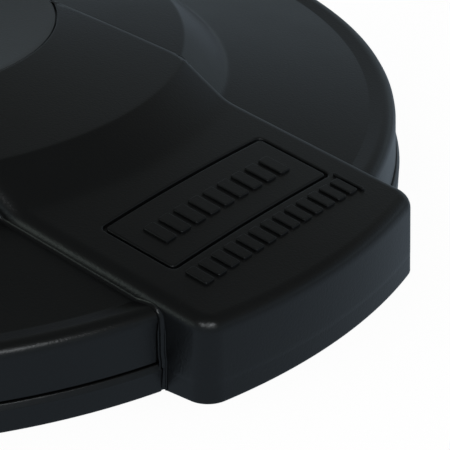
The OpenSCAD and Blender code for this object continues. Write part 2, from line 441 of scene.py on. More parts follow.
@dataclass(frozen=True)
class RoundedSlab:
    """A thin slab with a rounded rectangle for its plan, whose faces follow the surface under it."""

    x: float
    y: float
    half_w: float
    half_l: float
    corner: float
    edge: float
    top: float
    bottom: float
    cols: int
    rows: int
    inner_margin: float = 1.3

    def add_to(self, builder: ShellBuilder, height: HeightOver, end: LidEnd) -> None:
        """Adds the slab.

        Its upper face lies at height(x, y) + top. At its edge the face turns down through a quarter circle:
        the inset is edge * (1 - sin p) and the drop is edge * (1 - cos p) for p from 0 to 90 degrees.

        Args:
            builder: Takes the shell.
            height: Height of the surface that carries the slab.
            end: The end of the lid that the slab belongs to.
        """
        cols, rows = crowded(self.cols), crowded(self.rows)
        margin = self.corner * self.inner_margin
        grid_x, grid_y = np.meshgrid(cols * (self.half_w - margin), rows * (self.half_l - margin))
        grid = np.stack([grid_x.ravel(), grid_y.ravel()], 1)
        rim = grid_rim(self.rows, self.cols)
        outline, normal = rounded_rectangle(cols, rows, self.half_w, self.half_l, self.corner)
        edge_line = outline - normal * self.edge
        quarter = np.linspace(0, math.pi / 2, EDGE_STEPS)
        rings = [grid[rim] + (edge_line - grid[rim]) * share for share in (0.5, 0.85)]
        rings += [outline - normal * self.edge * (1 - math.sin(p)) for p in quarter]
        drops = [0.0, 0.0] + [self.edge * (1 - math.cos(p)) for p in quarter]
        plan = np.concatenate([grid, *rings, outline, grid]) + np.array([self.x, self.y])
        lift = np.concatenate(
            [np.full(len(grid), self.top)]
            + [np.full(len(rim), self.top - d) for d in drops]
            + [np.full(len(rim) + len(grid), self.bottom)]
        )
        points = np.column_stack([plan, height(plan[:, 0], plan[:, 1]) + lift])
        lines = [rim] + [len(grid) + k * len(rim) + np.arange(len(rim)) for k in range(len(rings) + 1)]
        base = len(grid) + (len(rings) + 1) * len(rim)
        lines.append(base + rim)
        faces = [grid_quads(self.rows, self.cols)]
        faces += [strip_quads(a, b, True) for a, b in zip(lines, lines[1:])]
        faces.append(grid_quads(self.rows, self.cols)[:, ::-1] + base)
        builder.add(end.turned(points), faces)


# ---------------------------------------------------------------------------------------------
# Sizes that the pieces share
# ---------------------------------------------------------------------------------------------


@dataclass(frozen=True)
class LidSizes:
    """Driving sizes of the lid, in metres and radians, and the columns of its turned pieces."""

    # Ring
    ring_r: float = 285.0 * MM
    ring_h: float = 14.8 * MM
    ring_wall: float = 3.5 * MM
    ledge_w: float = 19.5 * MM
    ledge_t: float = 4.2 * MM
    collar_h: float = 6.8 * MM
    collar_t: float = 3.8 * MM
    # Cover
    cover_t: float = 3.2 * MM
    step_in: float = 2.2 * MM
    seam_gap: float = 0.45 * MM
    rim_h: float = 42.8 * MM
    rim_band: float = 15.0 * MM
    rim_flat_w: float = 11.0 * MM
    rim_flat_rise: float = 0.9 * MM
    rim_round: float = 6.3 * MM
    wall_taper: float = 1.0 * MM
    cone_foot_r: float = 190.0 * MM
    slope_rise: float = 13.6 * MM
    cone_top_r: float = 167.0 * MM
    cone_rise: float = 20.6 * MM
    crown_rise: float = 8.7 * MM
    # Strap and handle
    strap_rise_top: float = 1.5 * MM
    strap_rise_foot: float = 6.0 * MM
    strap_rise_rim: float = 3.8 * MM
    strap_out_top: float = 3.8 * MM
    strap_out_foot: float = 5.5 * MM
    strap_soft_top: float = 0.7 * MM
    strap_soft_foot: float = 3.5 * MM
    strap_w: float = 164.4 * MM
    draft: float = math.radians(2.0)
    handle_t: float = 3.4 * MM
    handle_reach: float = 24.0 * MM
    corner_r: float = 13.0 * MM
    groove_w: float = 1.6 * MM
    groove_d: float = 0.7 * MM
    groove_before: float = 3.0 * MM
    groove_past: float = 0.3 * MM
    groove_soft_in: float = 0.8 * MM
    groove_soft_out: float = 0.9 * MM
    groove_soft_top: float = 3.0 * MM
    witness_h: float = 11.0 * MM
    # Centre cap
    cap_r: float = 98.0 * MM
    cap_sink: float = 0.5 * MM
    cap_t: float = 2.4 * MM
    well_depth: float = 12.0 * MM
    well_lip: float = 6.0 * MM
    lip_clear: float = 0.5 * MM
    # Running clearance
    clear: float = 0.3 * MM
    # Columns
    even_columns: int = 288
    fine_columns: int = 26
    least_step: float = 0.0012

    @property
    def cover_r(self) -> float:
        """Radius of the cover's wall."""
        return self.ring_r - self.step_in

    @property
    def crease(self) -> tuple[float, float]:
        """Radius and height of the inner edge of the rim's flat."""
        return self.cover_r - self.rim_band, self.rim_h - self.rim_flat_rise

    @property
    def cone_foot(self) -> tuple[float, float]:
        """Radius and height of the foot of the cone."""
        return self.cone_foot_r, self.crease[1] + self.slope_rise

    @property
    def cone_top(self) -> tuple[float, float]:
        """Radius and height of the top of the cone."""
        return self.cone_top_r, self.cone_foot[1] + self.cone_rise

    @property
    def crown_h(self) -> float:
        """Height of the cover beside the centre cap."""
        return self.cone_top[1] + self.crown_rise

    @property
    def cap_edge_h(self) -> float:
        """Height of the cap's edge."""
        return self.crown_h + self.strap_rise_top - self.cap_sink

    @property
    def collar_r(self) -> tuple[float, float]:
        """Inner and outer radius of the ring's collar."""
        outer = self.cover_r - self.cover_t - self.clear
        return outer - self.collar_t, outer

    @property
    def handle_r(self) -> float:
        """Radius of the handle's front, at its foot."""
        return self.ring_r + self.handle_reach

    @property
    def handle_hw(self) -> float:
        """Half width of the handle at its foot."""
        return self.strap_w / 2 + math.tan(self.draft) * (self.crown_h + self.strap_rise_top)

    def cover_height(self, radius: Array) -> Array:
        """Height of the cover's upper face, without its rounded edges.

        Args:
            radius: Distances from the axis.

        Returns:
            A height for each of them.
        """
        knots = [(self.cap_r, self.crown_h), self.cone_top, self.cone_foot, self.crease]
        knots.append((self.crease[0] + self.rim_flat_w, self.rim_h))
        return np.interp(radius, [k[0] for k in knots], [k[1] for k in knots])

    def strap_line(self) -> SoftLine:
        """Height of the strap's upper face over the radius, on to the handle's front.

        Returns:
            The line, with its bends over the top and the foot of the cone.
        """
        rim = (self.ring_r, self.rim_h + self.strap_rise_rim)
        foot = (self.cone_foot[0] + self.strap_out_foot, self.cone_foot[1] + self.strap_rise_foot)
        top = (self.cone_top[0] + self.strap_out_top, self.cone_top[1] + self.strap_rise_top)
        start = (self.cap_r, self.crown_h + self.strap_rise_top)
        return SoftLine((start, top, foot, rim), (self.strap_soft_top, self.strap_soft_foot))

    def groove_columns(self) -> Array:
        """Angles of a turned piece's columns: even steps, with more in the grooves beside the handles.

        Returns:
            The angles, in order.
        """
        even = np.arange(self.even_columns) * 2 * math.pi / self.even_columns
        start, stop = self.handle_hw - 4 * MM, self.handle_hw + self.groove_w + 1.5 * MM
        right = np.arcsin(np.linspace(start, stop, self.fine_columns) / self.cover_r)
        fine = np.concatenate([right, -right, math.pi - right, math.pi + right]) % (2 * math.pi)
        gap = np.abs((even[:, None] - fine[None] + math.pi) % (2 * math.pi) - math.pi).min(1)
        return np.sort(np.concatenate([even[gap > self.least_step], fine]))

    def groove_cut(self, profile: Array, angles: Array, top: float) -> Array:
        """Depth of the grooves beside the handles, for each profile point and column.

        The depth is the groove's own, times one soft step over the distance from the lid's middle plane on
        each side of the groove, times one that ends the groove at its top and one that keeps it on the wall.

        Args:
            profile: Radius and height of the solid's outline.
            angles: Angles of its columns.
            top: Height at which the groove has run out.

        Returns:
            The depth, rows by columns.
        """
        radius, height = profile[:, :1], profile[:, 1:]
        off = np.abs(radius * np.sin(angles)) - self.handle_hw + math.tan(self.draft) * height
        start = smooth_step((off + self.groove_before) / self.groove_soft_in)
        stop = smooth_step((self.groove_w + self.groove_past - off) / self.groove_soft_out)
        upright = smooth_step((top - height) / self.groove_soft_top)
        wall = radius > self.cover_r - self.groove_d
        return self.groove_d * start * stop * upright * wall


# ---------------------------------------------------------------------------------------------
# Finishes
# ---------------------------------------------------------------------------------------------


def add_socket(
    group: bpy.types.NodeTree, name: str, direction: str, kind: str, value: float | None = None
) -> None:
    """Adds an input or output to a node group.

    Args:
        group: The node group.
        name: The socket's name.
        direction: INPUT or OUTPUT.
        kind: The socket's type, such as NodeSocketFloat.
        value: The input's own value.
    """
    socket = group.interface.new_socket(name=name, in_out=direction, socket_type=kind)
    if value is not None:
        socket.default_value = value


def moulded_grain_group() -> bpy.types.NodeTree:
    """The fine grain and the slow unevenness of a moulded or rolled face.

    Returns:
        A group that turns a position into a grain height, a cloud from 0 to 1 and a speckle from 0 to 1.
    """
    group = bpy.data.node_groups.new("moulded_grain", "ShaderNodeTree")
    add_socket(group, "Position", "INPUT", "NodeSocketVector")
    add_socket(group, "Grain Scale", "INPUT", "NodeSocketFloat", 800.0)
    add_socket(group, "Cloud Scale", "INPUT", "NodeSocketFloat", 14.0)
    for output in ("Height", GrainMask.CLOUD.value, GrainMask.SPECKLE.value):
        add_socket(group, output, "OUTPUT", "NodeSocketFloat")
    nodes, links = group.nodes, group.links
    entry, leave = nodes.new("NodeGroupInput"), nodes.new("NodeGroupOutput")
    grain = nodes.new("ShaderNodeTexNoise")
    grain.inputs["Detail"].default_value = 2.0
    grain.inputs["Roughness"].default_value = 0.6
    cloud = nodes.new("ShaderNodeTexNoise")
    cloud.inputs["Detail"].default_value = 3.0
    speckle = nodes.new("ShaderNodeTexVoronoi")
    coarser = nodes.new("ShaderNodeMath")
    coarser.operation = "MULTIPLY"
    coarser.inputs[1].default_value = 0.35
    spread = nodes.new("ShaderNodeMapRange")
    spread.inputs["From Min"].default_value = 0.3
    spread.inputs["From Max"].default_value = 0.7
    for texture in (grain, cloud, speckle):
        links.new(entry.outputs["Position"], texture.inputs["Vector"])
    links.new(entry.outputs["Grain Scale"], grain.inputs["Scale"])
    links.new(entry.outputs["Cloud Scale"], cloud.inputs["Scale"])
    links.new(entry.outputs["Grain Scale"], coarser.inputs[0])
    links.new(coarser.outputs[0], speckle.inputs["Scale"])
    links.new(cloud.outputs[0], spread.inputs["Value"])
    links.new(grain.outputs[0], leave.inputs["Height"])
    links.new(spread.outputs[0], leave.inputs[GrainMask.CLOUD.value])
    links.new(speckle.outputs["Distance"], leave.inputs[GrainMask.SPECKLE.value])
    return group


@dataclass(frozen=True)
class PlasticFinish:
    """A moulded plastic with a fine grain."""

    name: str
    colour: Colour
    cloud_colour: Colour
    roughness: float
    uneven_roughness: float
    metallic: float = 0.0
    specular: float = 0.5
    grain_scale: float = 800.0
    cloud_scale: float = 14.0
    grain_height: float = 0.1 * MM
    grain_strength: float = 1.0
    roughness_mask: GrainMask = GrainMask.CLOUD

    def material(self, grain: bpy.types.NodeTree) -> bpy.types.Material:
        """Builds the material.

        Args:
            grain: The shared grain group.

        Returns:
            The material, which reads Object coordinates.
        """
        material = bpy.data.materials.new(self.name)
        material.use_nodes = True
        nodes, links = material.node_tree.nodes, material.node_tree.links
        shader = nodes["Principled BSDF"]
        shader.inputs["Metallic"].default_value = self.metallic
        shader.inputs["Specular IOR Level"].default_value = self.specular
        place = nodes.new("ShaderNodeTexCoord")
        face = nodes.new("ShaderNodeGroup")
        face.node_tree = grain
        face.inputs["Grain Scale"].default_value = self.grain_scale
        face.inputs["Cloud Scale"].default_value = self.cloud_scale
        colour = nodes.new("ShaderNodeMix")
        colour.data_type = "RGBA"
        colour.inputs["A"].default_value = (*self.colour, 1.0)
        colour.inputs["B"].default_value = (*self.cloud_colour, 1.0)
        rough = nodes.new("ShaderNodeMapRange")
        rough.inputs["To Min"].default_value = self.roughness
        rough.inputs["To Max"].default_value = self.uneven_roughness
        bump = nodes.new("ShaderNodeBump")
        bump.inputs["Strength"].default_value = self.grain_strength
        bump.inputs["Distance"].default_value = self.grain_height
        links.new(place.outputs["Object"], face.inputs["Position"])
        links.new(face.outputs[GrainMask.CLOUD.value], colour.inputs["Factor"])
        links.new(face.outputs[self.roughness_mask.value], rough.inputs["Value"])
        links.new(face.outputs["Height"], bump.inputs["Height"])
        links.new(colour.outputs["Result"], shader.inputs["Base Color"])
        links.new(rough.outputs[0], shader.inputs["Roughness"])
        links.new(bump.outputs["Normal"], shader.inputs["Normal"])
        return material


@dataclass(frozen=True)
class SteelFinish(PlasticFinish):
    """Zinc-plated steel: the same layers, with metal's values and finer, flatter grain."""

    roughness: float = 0.32
    uneven_roughness: float = 0.5
    metallic: float = 1.0
    grain_scale: float = 900.0
    cloud_scale: float = 260.0
    grain_height: float = 0.01 * MM
    grain_strength: float = 0.2
    roughness_mask: GrainMask = GrainMask.SPECKLE


class FinishShelf:
    """The lid's materials, each built once."""

    BLACK: Colour = (0.0011, 0.0012, 0.0013)
    CLOUDED_BLACK: Colour = (0.0014, 0.0015, 0.0016)
    FINISHES: dict[Slot, PlasticFinish] = {
        Slot.RING: PlasticFinish("ring_plastic", BLACK, CLOUDED_BLACK, 0.27, 0.33),
        Slot.COVER: PlasticFinish("cover_plastic", BLACK, CLOUDED_BLACK, 0.27, 0.33),
        Slot.HANDLE: PlasticFinish("handle_plastic", BLACK, CLOUDED_BLACK, 0.26, 0.32),
        Slot.PLATE: PlasticFinish("plate_plastic", BLACK, CLOUDED_BLACK, 0.27, 0.33),
        # Painted light: the cap's colour is set far lighter than the other black parts so that its dish reads
        # as bright as it looks under the lights.
        Slot.CAP: PlasticFinish("cap_plastic", (0.016, 0.019, 0.0205), (0.018, 0.021, 0.0225), 0.36, 0.42),
        Slot.SCREW: SteelFinish("screw_steel", (0.62, 0.62, 0.60), (0.48, 0.48, 0.47)),
    }

    def __init__(self) -> None:
        """Builds the shared grain group and every material."""
        grain = moulded_grain_group()
        self.materials = {slot: finish.material(grain) for slot, finish in self.FINISHES.items()}

    def dress(self, piece: bpy.types.Object, slot: Slot, body: Body, *nodes: str) -> None:
        """Gives a piece its finish, body and slot, and hides the frame's nodes that it stands for.

        Args:
            piece: The finished piece.
            slot: The material slot of its finish.
            body: The body that it moves with.
            nodes: The frame's nodes that it replaces.
        """
        piece.data.materials.append(self.materials[slot])
        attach(piece, body.value)
        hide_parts(*nodes)
        piece.data.calc_loop_triangles()
        LOG.info("%s: %d triangles on body %s", piece.name, len(piece.data.loop_triangles), body.value)


# ---------------------------------------------------------------------------------------------
# Pieces
# ---------------------------------------------------------------------------------------------


@dataclass(frozen=True)
class RimRing:
    """The ring that sits on the container's mouth."""

    sizes: LidSizes
    ledge_seen: float = 0.8 * MM
    shoulder_fall: float = 2.9 * MM
    shoulder_round: float = 1.0 * MM
    ledge_round: float = 0.8 * MM
    foot_taper: float = 0.3 * MM
    witness_rise: float = 0.6 * MM
    witness_in: float = 0.04 * MM
    witness_round: float = 0.2 * MM
    groove_over: float = 3.0 * MM

    def profile(self) -> Array:
        """The ring's outline: foot, wall, steep shoulder, narrow ledge, collar and inner ledge.

        The wall leans in below the witness line, where a short step breaks it. Each row of the table gives a
        corner's radius, its height and its rounding.

        Returns:
            Radius and height of the outline's points, one row each.
        """
        s = self.sizes
        inner = s.ring_r - s.ring_wall
        low, high = s.collar_r
        seat = s.ring_h + s.collar_h
        return rounded(
            [
                (inner, 0.0, 0.5 * MM),
                (s.ring_r - self.foot_taper, 0.0, 0.8 * MM),
                (s.ring_r - self.witness_in, s.witness_h, self.witness_round),
                (s.ring_r, s.witness_h + self.witness_rise, self.witness_round),
                (s.ring_r, s.ring_h - self.shoulder_fall, self.shoulder_round),
                (s.cover_r + self.ledge_seen, s.ring_h, self.ledge_round),
                (high, s.ring_h, 0.4 * MM),
                (high, seat, 0.6 * MM),
                (low, seat, 0.6 * MM),
                (low, s.ring_h, 1.0 * MM),
                (inner - s.ledge_w, s.ring_h, 0.8 * MM),
                (inner - s.ledge_w, s.ring_h - s.ledge_t, 0.8 * MM),
                (inner, s.ring_h - s.ledge_t, 1.2 * MM),
            ]
        )

    def build(self, finishes: FinishShelf) -> None:
        """Carries the outline round the axis, with the grooves beside the handles.

        Args:
            finishes: Gives the ring its finish, body and slot.
        """
        profile, angles = self.profile(), self.sizes.groove_columns()
        cut = self.sizes.groove_cut(profile, angles, self.sizes.ring_h + self.groove_over)
        builder = ShellBuilder()
        add_ring_solid(builder, profile, angles, cut)
        finishes.dress(builder.build("rim_ring_body"), Slot.RING, Body.RING, "rim_ring")


@dataclass(frozen=True)
class Cover:
    """The domed cover with its well, ribs and screw pads."""

    sizes: LidSizes
    hole_r: float = 2.4 * MM
    ribs: int = 12
    rib_t: float = 2.6 * MM
    rib_h: float = 6.0 * MM
    pad_r: float = 5.5 * MM
    pad_edge: float = 0.6 * MM
    rib_places: int = 12
    groove_under: float = 1.0 * MM

    def profile(self) -> Array:
        """The cover's outline, out over its upper face, down the leaning wall and back below.

        Each row of the table gives a corner's radius, its height and its rounding.

        Returns:
            Radius and height of the outline's points, one row each.
        """
        s = self.sizes
        under = s.cover_t
        low = s.collar_r[0]
        seat = s.ring_h + s.collar_h
        bottom = s.ring_h + s.seam_gap
        well_r = s.cap_r - s.well_lip
        lip_r = s.cap_r + s.lip_clear
        cap_seat = s.cap_edge_h - s.cap_t
        well_h = s.cap_edge_h - s.well_depth
        flat = s.rim_flat_rise / s.rim_flat_w
        brim_h = s.crease[1] + flat * (s.cover_r - s.crease[0])
        return rounded(
            [
                (self.hole_r, well_h, 0.4 * MM),
                (well_r, well_h, 1.5 * MM),
                (well_r, cap_seat, 0.8 * MM),
                (lip_r, cap_seat, 0.3 * MM),
                (lip_r, s.crown_h, 0.6 * MM),
                (*s.cone_top, 3.0 * MM),
                (*s.cone_foot, 7.0 * MM),
                (*s.crease, 3.0 * MM),
                (s.cover_r - s.wall_taper, brim_h, s.rim_round),
                (s.cover_r, bottom, 0.6 * MM),
                (s.cover_r - under, bottom, 0.6 * MM),
                (s.cover_r - under, seat, 0.5 * MM),
                (low, seat, 0.5 * MM),
                (low, s.crease[1] - under, 2.0 * MM),
                (s.crease[0], s.crease[1] - under, 2.0 * MM),
                (s.cone_foot[0], s.cone_foot[1] - under, 16.0 * MM),
                (s.cone_top[0], s.cone_top[1] - under, 1.5 * MM),
                (lip_r + under, s.crown_h - under, 0.8 * MM),
                (lip_r + under, cap_seat - under, 0.4 * MM),
                (well_r + under, cap_seat - under, 0.6 * MM),
                (well_r + under, well_h - under, 2.5 * MM),
                (self.hole_r, well_h - under, 0.4 * MM),
            ]
        )

    def upper_outline(self) -> Array:
        """The part of the outline that a handle's side walls stand on.

        It runs from beside the cap's opening over the upper face and down the wall, and then straight down
        almost to the ground.

        Returns:
            Radius and height of its points, one row each.
        """
        s = self.sizes
        profile = self.profile()
        radius, height = profile.T
        crown = (radius > s.cap_r + 2 * MM) & (height > s.cone_top[1] - 1 * MM)
        wall_foot = radius * (np.abs(height - s.ring_h - s.seam_gap) < 2 * MM)
        middle = profile[int(np.argmax(crown)) : int(np.argmax(wall_foot)) + 1]
        return np.concatenate([[[s.cap_r + 3 * MM, s.crown_h]], middle, [[s.cover_r, 0.8 * MM]]])

    def add_ribs(self, builder: ShellBuilder) -> None:
        """Adds the radial ribs: a U-shaped section carried outwards under the slope.

        Args:
            builder: Takes the shells.
        """
        s = self.sizes
        start, stop = s.cone_foot[0] + s.cover_t, s.crease[0]
        radius = np.linspace(start, stop, self.rib_places)
        roof = s.cover_height(radius) - s.cover_t / 2
        half, depth = self.rib_t / 2, self.rib_h + s.cover_t / 2
        turn = np.linspace(0, math.pi, 7)
        across = np.concatenate([[half], half * np.cos(turn), [-half]])
        down = np.concatenate([[0.0], depth - half + half * np.sin(turn), [0.0]])
        for number in range(self.ribs):
            angle = 2 * math.pi * number / self.ribs
            out = np.array([math.cos(angle), math.sin(angle), 0.0])
            side = np.array([-math.sin(angle), math.cos(angle), 0.0])
            along = radius[:, None, None] * out + across[None, :, None] * side
            add_sweep(builder, along + (roof[:, None] - down[None, :])[..., None] * UP)

    def add_pads(self, builder: ShellBuilder, screws: "HandleScrews") -> None:
        """Adds the round pads that the handle screws' heads bear on.

        Args:
            builder: Takes the shells.
            screws: Tells where the screws stand and how high their heads bear.
        """
        for x, y in screws.places():
            radius = math.hypot(x, y)
            low = screws.seat(radius)
            high = float(self.sizes.cover_height(radius)) - self.sizes.cover_t / 2
            line = np.array([[0.0, low], [self.pad_r - self.pad_edge, low], [self.pad_r, low + self.pad_edge],
                [self.pad_r, high], [0.0, high]])
            add_turned_solid(builder, line, np.array([x, y, 0.0]))

    def build(self, finishes: FinishShelf, screws: "HandleScrews") -> None:
        """Carries the outline round the axis and adds the ribs and pads.

        Args:
            finishes: Gives the cover its finish, body and slot.
            screws: The handles' screws, which need pads.
        """
        profile, angles = self.profile(), self.sizes.groove_columns()
        cut = self.sizes.groove_cut(profile, angles, self.sizes.rim_h - self.groove_under)
        builder = ShellBuilder()
        add_ring_solid(builder, profile, angles, cut)
        self.add_ribs(builder)
        self.add_pads(builder, screws)
        finishes.dress(builder.build("cover_dome"), Slot.COVER, Body.COVER, "cover_shell")


@dataclass(frozen=True)
class HandleScrews:
    """The eight pan-head screws that hold the handles, and the pads' seats that they bear on."""

    sizes: LidSizes
    inner: tuple[float, float] = (40.0 * MM, 204.0 * MM)
    outer: tuple[float, float] = (72.0 * MM, 240.0 * MM)
    # Screw
    shank_r: float = 2.0 * MM
    tip_l: float = 1.2 * MM
    tip_share: float = 0.45
    head_r: float = 4.0 * MM
    head_h: float = 2.4 * MM
    head_dome: float = 0.5 * MM
    dome_share: float = 0.92
    columns: int = 40
    # Cross recess
    recess: float = 1.5 * MM
    arm_half: float = 0.55 * MM
    arm_soft: float = 0.25 * MM
    arm_reach: float = 2.3 * MM
    arm_fall: float = 1.2 * MM
    # Plastic round the screw
    skin: float = 1.6 * MM
    boss_wall: float = 3.0 * MM
    lap: float = 0.5 * MM

    def places(self) -> list[tuple[float, float]]:
        """Where the screws stand.

        Returns:
            x and y of each of them.
        """
        return [
            (side * x, end.value * -y)
            for end in LidEnd
            for side in (-1, 1)
            for x, y in (self.inner, self.outer)
        ]

    def seat(self, radius: float) -> float:
        """Height of a screw head's bearing face at a radius."""
        far = radius + self.head_r + self.boss_wall
        return float(self.sizes.cover_height(far)) - self.sizes.cover_t - self.lap

    def cross(self, x: Array, y: Array) -> Array:
        """Depth of the cross recess: the arms' soft edge times a fall towards the arms' ends.

        Args:
            x: Distances from the screw's axis across the head.
            y: Distances along it.

        Returns:
            The depth at each place.
        """
        arm = np.minimum(np.abs(x), np.abs(y))
        reach = np.maximum(np.abs(x), np.abs(y))
        width = smooth_step((self.arm_half - arm) / self.arm_soft)
        return self.recess * width * smooth_step((self.arm_reach - reach) / self.arm_fall)

    def add_screw(self, builder: ShellBuilder, at: Array, length: float) -> None:
        """Adds one screw that points up, with its bearing face at the given place.

        Args:
            builder: Takes the shell.
            at: The middle of the bearing face.
            length: Length of the shank.
        """
        turn = np.linspace(0, 1, 12)[:, None]
        dome = np.hstack([self.head_r * self.dome_share * turn, -self.head_h + self.head_dome * turn**2])
        rest = np.array([
            [self.head_r, -self.head_h + 1.1 * MM],
            [self.head_r, -0.1 * MM],
            [self.head_r - 0.2 * MM, 0.0],
            [self.shank_r, 0.0],
            [self.shank_r, length - self.tip_l],
            [self.shank_r * self.tip_share, length],
            [0.0, length],
        ])
        add_turned_solid(builder, np.concatenate([dome, rest]), at, self.columns, self.cross)

    def build(self, finishes: FinishShelf) -> None:
        """Places the eight screws.

        Args:
            finishes: Gives them their finish, body and slot.
        """
        builder = ShellBuilder()
        strap = self.sizes.strap_line()
        for x, y in self.places():
            radius = math.hypot(x, y)
            seat = self.seat(radius)
            length = float(strap.height(np.array(radius))) - seat - self.skin - self.sizes.clear
            self.add_screw(builder, np.array([x, y, seat]), length)
        finishes.dress(builder.build("handle_pan_screws"), Slot.SCREW, Body.COVER, "handle_screws")


@dataclass(frozen=True)
class SideLine:
    """A line of points in plan, with their outward normals."""

    points: Array
    normals: Array

    def drawn_in(self, inset: Array | float) -> Array:
        """The line moved inwards by an inset."""
        return self.points - self.normals * np.asarray(inset).reshape(-1, 1)


@dataclass(frozen=True)
class SideWall:
    """A handle's side: the round edge above, the drafted wall and its foot, for each point of its line."""

    line: SideLine
    slope: float
    radius: Array
    last_turn: Array
    top_in: Array
    top: Array
    foot: Array

    @property
    def fall(self) -> Array:
        """How far the round edge comes down."""
        return self.radius * (1 - np.cos(self.last_turn))


@dataclass(frozen=True)
class CarryingHandle:
    """A grip handle with the strap that runs from it to the centre cap."""

    sizes: LidSizes
    end: LidEnd
    # Plate's recess
    plate_w: float = 125.0 * MM
    plate_l: float = 45.5 * MM
    plate_y: float = -236.3 * MM
    plate_corner: float = 4.0 * MM
    recess_depth: float = 2.1 * MM
    recess_edge: float = 0.7 * MM
    window_margin: float = 4.0 * MM
    # Side walls
    cap_gap: float = 0.2 * MM
    cap_side_edge: float = 0.6 * MM
    cover_lap: float = 0.1 * MM
    hollow_over: float = 0.2 * MM
    side_round: float = 7.0 * MM
    front_round: float = 6.6 * MM
    foot_round: float = 0.8 * MM
    inner_foot_round: float = 0.6 * MM
    foot_round_share: float = 0.2
    least_wall: float = 0.3 * MM
    least_inner_round: float = 0.4 * MM
    witness_in: float = 0.05 * MM
    witness_half: float = 0.15 * MM
    blend_l: float = 20.0 * MM
    # Bead at the foot
    bead: float = 2.35 * MM
    low_bead: float = 1.7 * MM
    bead_lip: float = 0.17
    low_lip_share: float = 0.03
    lip_stretch: float = 0.4
    lip_crown: float = 0.9
    hollow_bend: float = 0.55
    bead_sink: float = 0.1
    bead_tall: float = 9.0 * MM
    bead_growth: float = 8.0 * MM
    bead_step: float = 3.0 * MM
    seam_swell: float = 0.6 * MM
    swell_start: float = 5.0 * MM
    swell_l: float = 4.0 * MM
    # Bars
    grip_bars: int = 13
    grip_y: float = -270.55 * MM
    grip_l: float = 13.0 * MM
    grip_span: float = 124.1 * MM
    bar_fill: float = 0.66
    bar_h: float = 1.4 * MM
    bar_corner: float = 0.8 * MM
    bar_edge: float = 0.5 * MM
    bar_sink: float = 0.5 * MM
    rib_w: float = 1.7 * MM
    rib_l: float = 19.0 * MM
    rib_out: float = 0.7 * MM
    rib_back: float = 1.0 * MM
    # Columns and rows
    inner_cols: int = 61
    outer_cols: int = 8
    window_rows: int = 29
    corner_rows: int = 12
    blend_rows: int = 6
    fit_rounds: int = 4

    def face(self, x: Array, y: Array) -> Array:
        """Height of the strap's and the handle's upper face, with the rounded edge beside the cap.

        Args:
            x: Places across the strap.
            y: Places along it.

        Returns:
            The height at each place.
        """
        radius = np.hypot(x, y)
        edge = self.cap_side_edge
        inside = np.clip((self.sizes.cap_r + self.cap_gap + edge - radius) / edge, 0.0, 1.0)
        return self.sizes.strap_line().height(radius) - edge * (1 - np.sqrt(1 - inside**2))

    def foot(self, x: Array, y: Array) -> Array:
        """Height of the walls' foot: on the cover, above the ring beside it, and on the ground outside.

        The cover's rounded edge lies lower by r - sqrt(r^2 - d^2) at a distance d past its start, and its
        leaning wall falls evenly from the edge's end to the seam.

        Args:
            x: Places across the strap.
            y: Places along it.

        Returns:
            The height at each place.
        """
        s = self.sizes
        radius = np.hypot(x, y)
        top_r = s.cover_r - s.wall_taper
        past = np.clip(radius - (top_r - s.rim_round), 0.0, s.rim_round)
        edge = s.rim_round - np.sqrt(s.rim_round**2 - past**2)
        wall_h = s.rim_h - s.rim_round - s.ring_h - s.seam_gap
        edge = edge + wall_h * np.clip((radius - top_r) / s.wall_taper, 0.0, 1.0)
        on_cover = s.cover_height(radius) - edge - self.cover_lap
        beside = np.where(radius < s.ring_r + s.clear, s.ring_h + s.seam_gap, 0.0)
        return np.where(radius < s.cover_r + self.cover_lap, on_cover, beside)

    def ceiling(self, plan: Array) -> Array:
        """Height of the inner face: a wall's thickness below the upper one, but above the cover."""
        over = self.foot(*plan.T) + self.hollow_over
        return np.maximum(self.face(*plan.T) - self.sizes.handle_t, over)

    def row_places(self) -> tuple[Array, Array]:
        """Places of the upper face's rows, which lie closer where the face bends.

        Returns:
            Radii of the curved rows over the dome, and y of the straight rows round the plate and the rim.
        """
        s = self.sizes
        start = s.cap_r + self.cap_gap
        ridge, bend = s.cone_top_r + s.strap_out_top, s.cone_foot_r + s.strap_out_foot
        arcs = np.concatenate([
            start + np.array([0.0, 0.05, 0.17, 0.35, 0.6, 1.5]) * MM,
            np.arange(start + 5 * MM, ridge - 4 * MM, 4 * MM),
            np.linspace(ridge - 3 * MM, ridge + 3 * MM, 19),
            np.linspace(ridge + 5 * MM, bend + 4 * MM, 16),
        ])
        half = self.plate_l / 2 + self.window_margin
        window = self.plate_y - half * crowded(self.window_rows)
        side = s.handle_hw - 1.5 * MM
        rim = np.array([
            *(s.cover_r - s.wall_taper - s.rim_round * np.array([1.0, 0.75, 0.5, 0.3, 0.15, 0.05, 0.0])),
            *(s.cover_r + np.array([0.25, 1.0]) * MM),
            *(s.ring_r + np.array([0.2, 0.5]) * MM),
        ])
        crossing = -np.sqrt(rim**2 - side**2)
        past_window = crossing[crossing < window[-1] - 0.3 * MM]
        return arcs, np.concatenate([window, past_window, crossing[-1] - np.array([4.0, 8.0]) * MM])

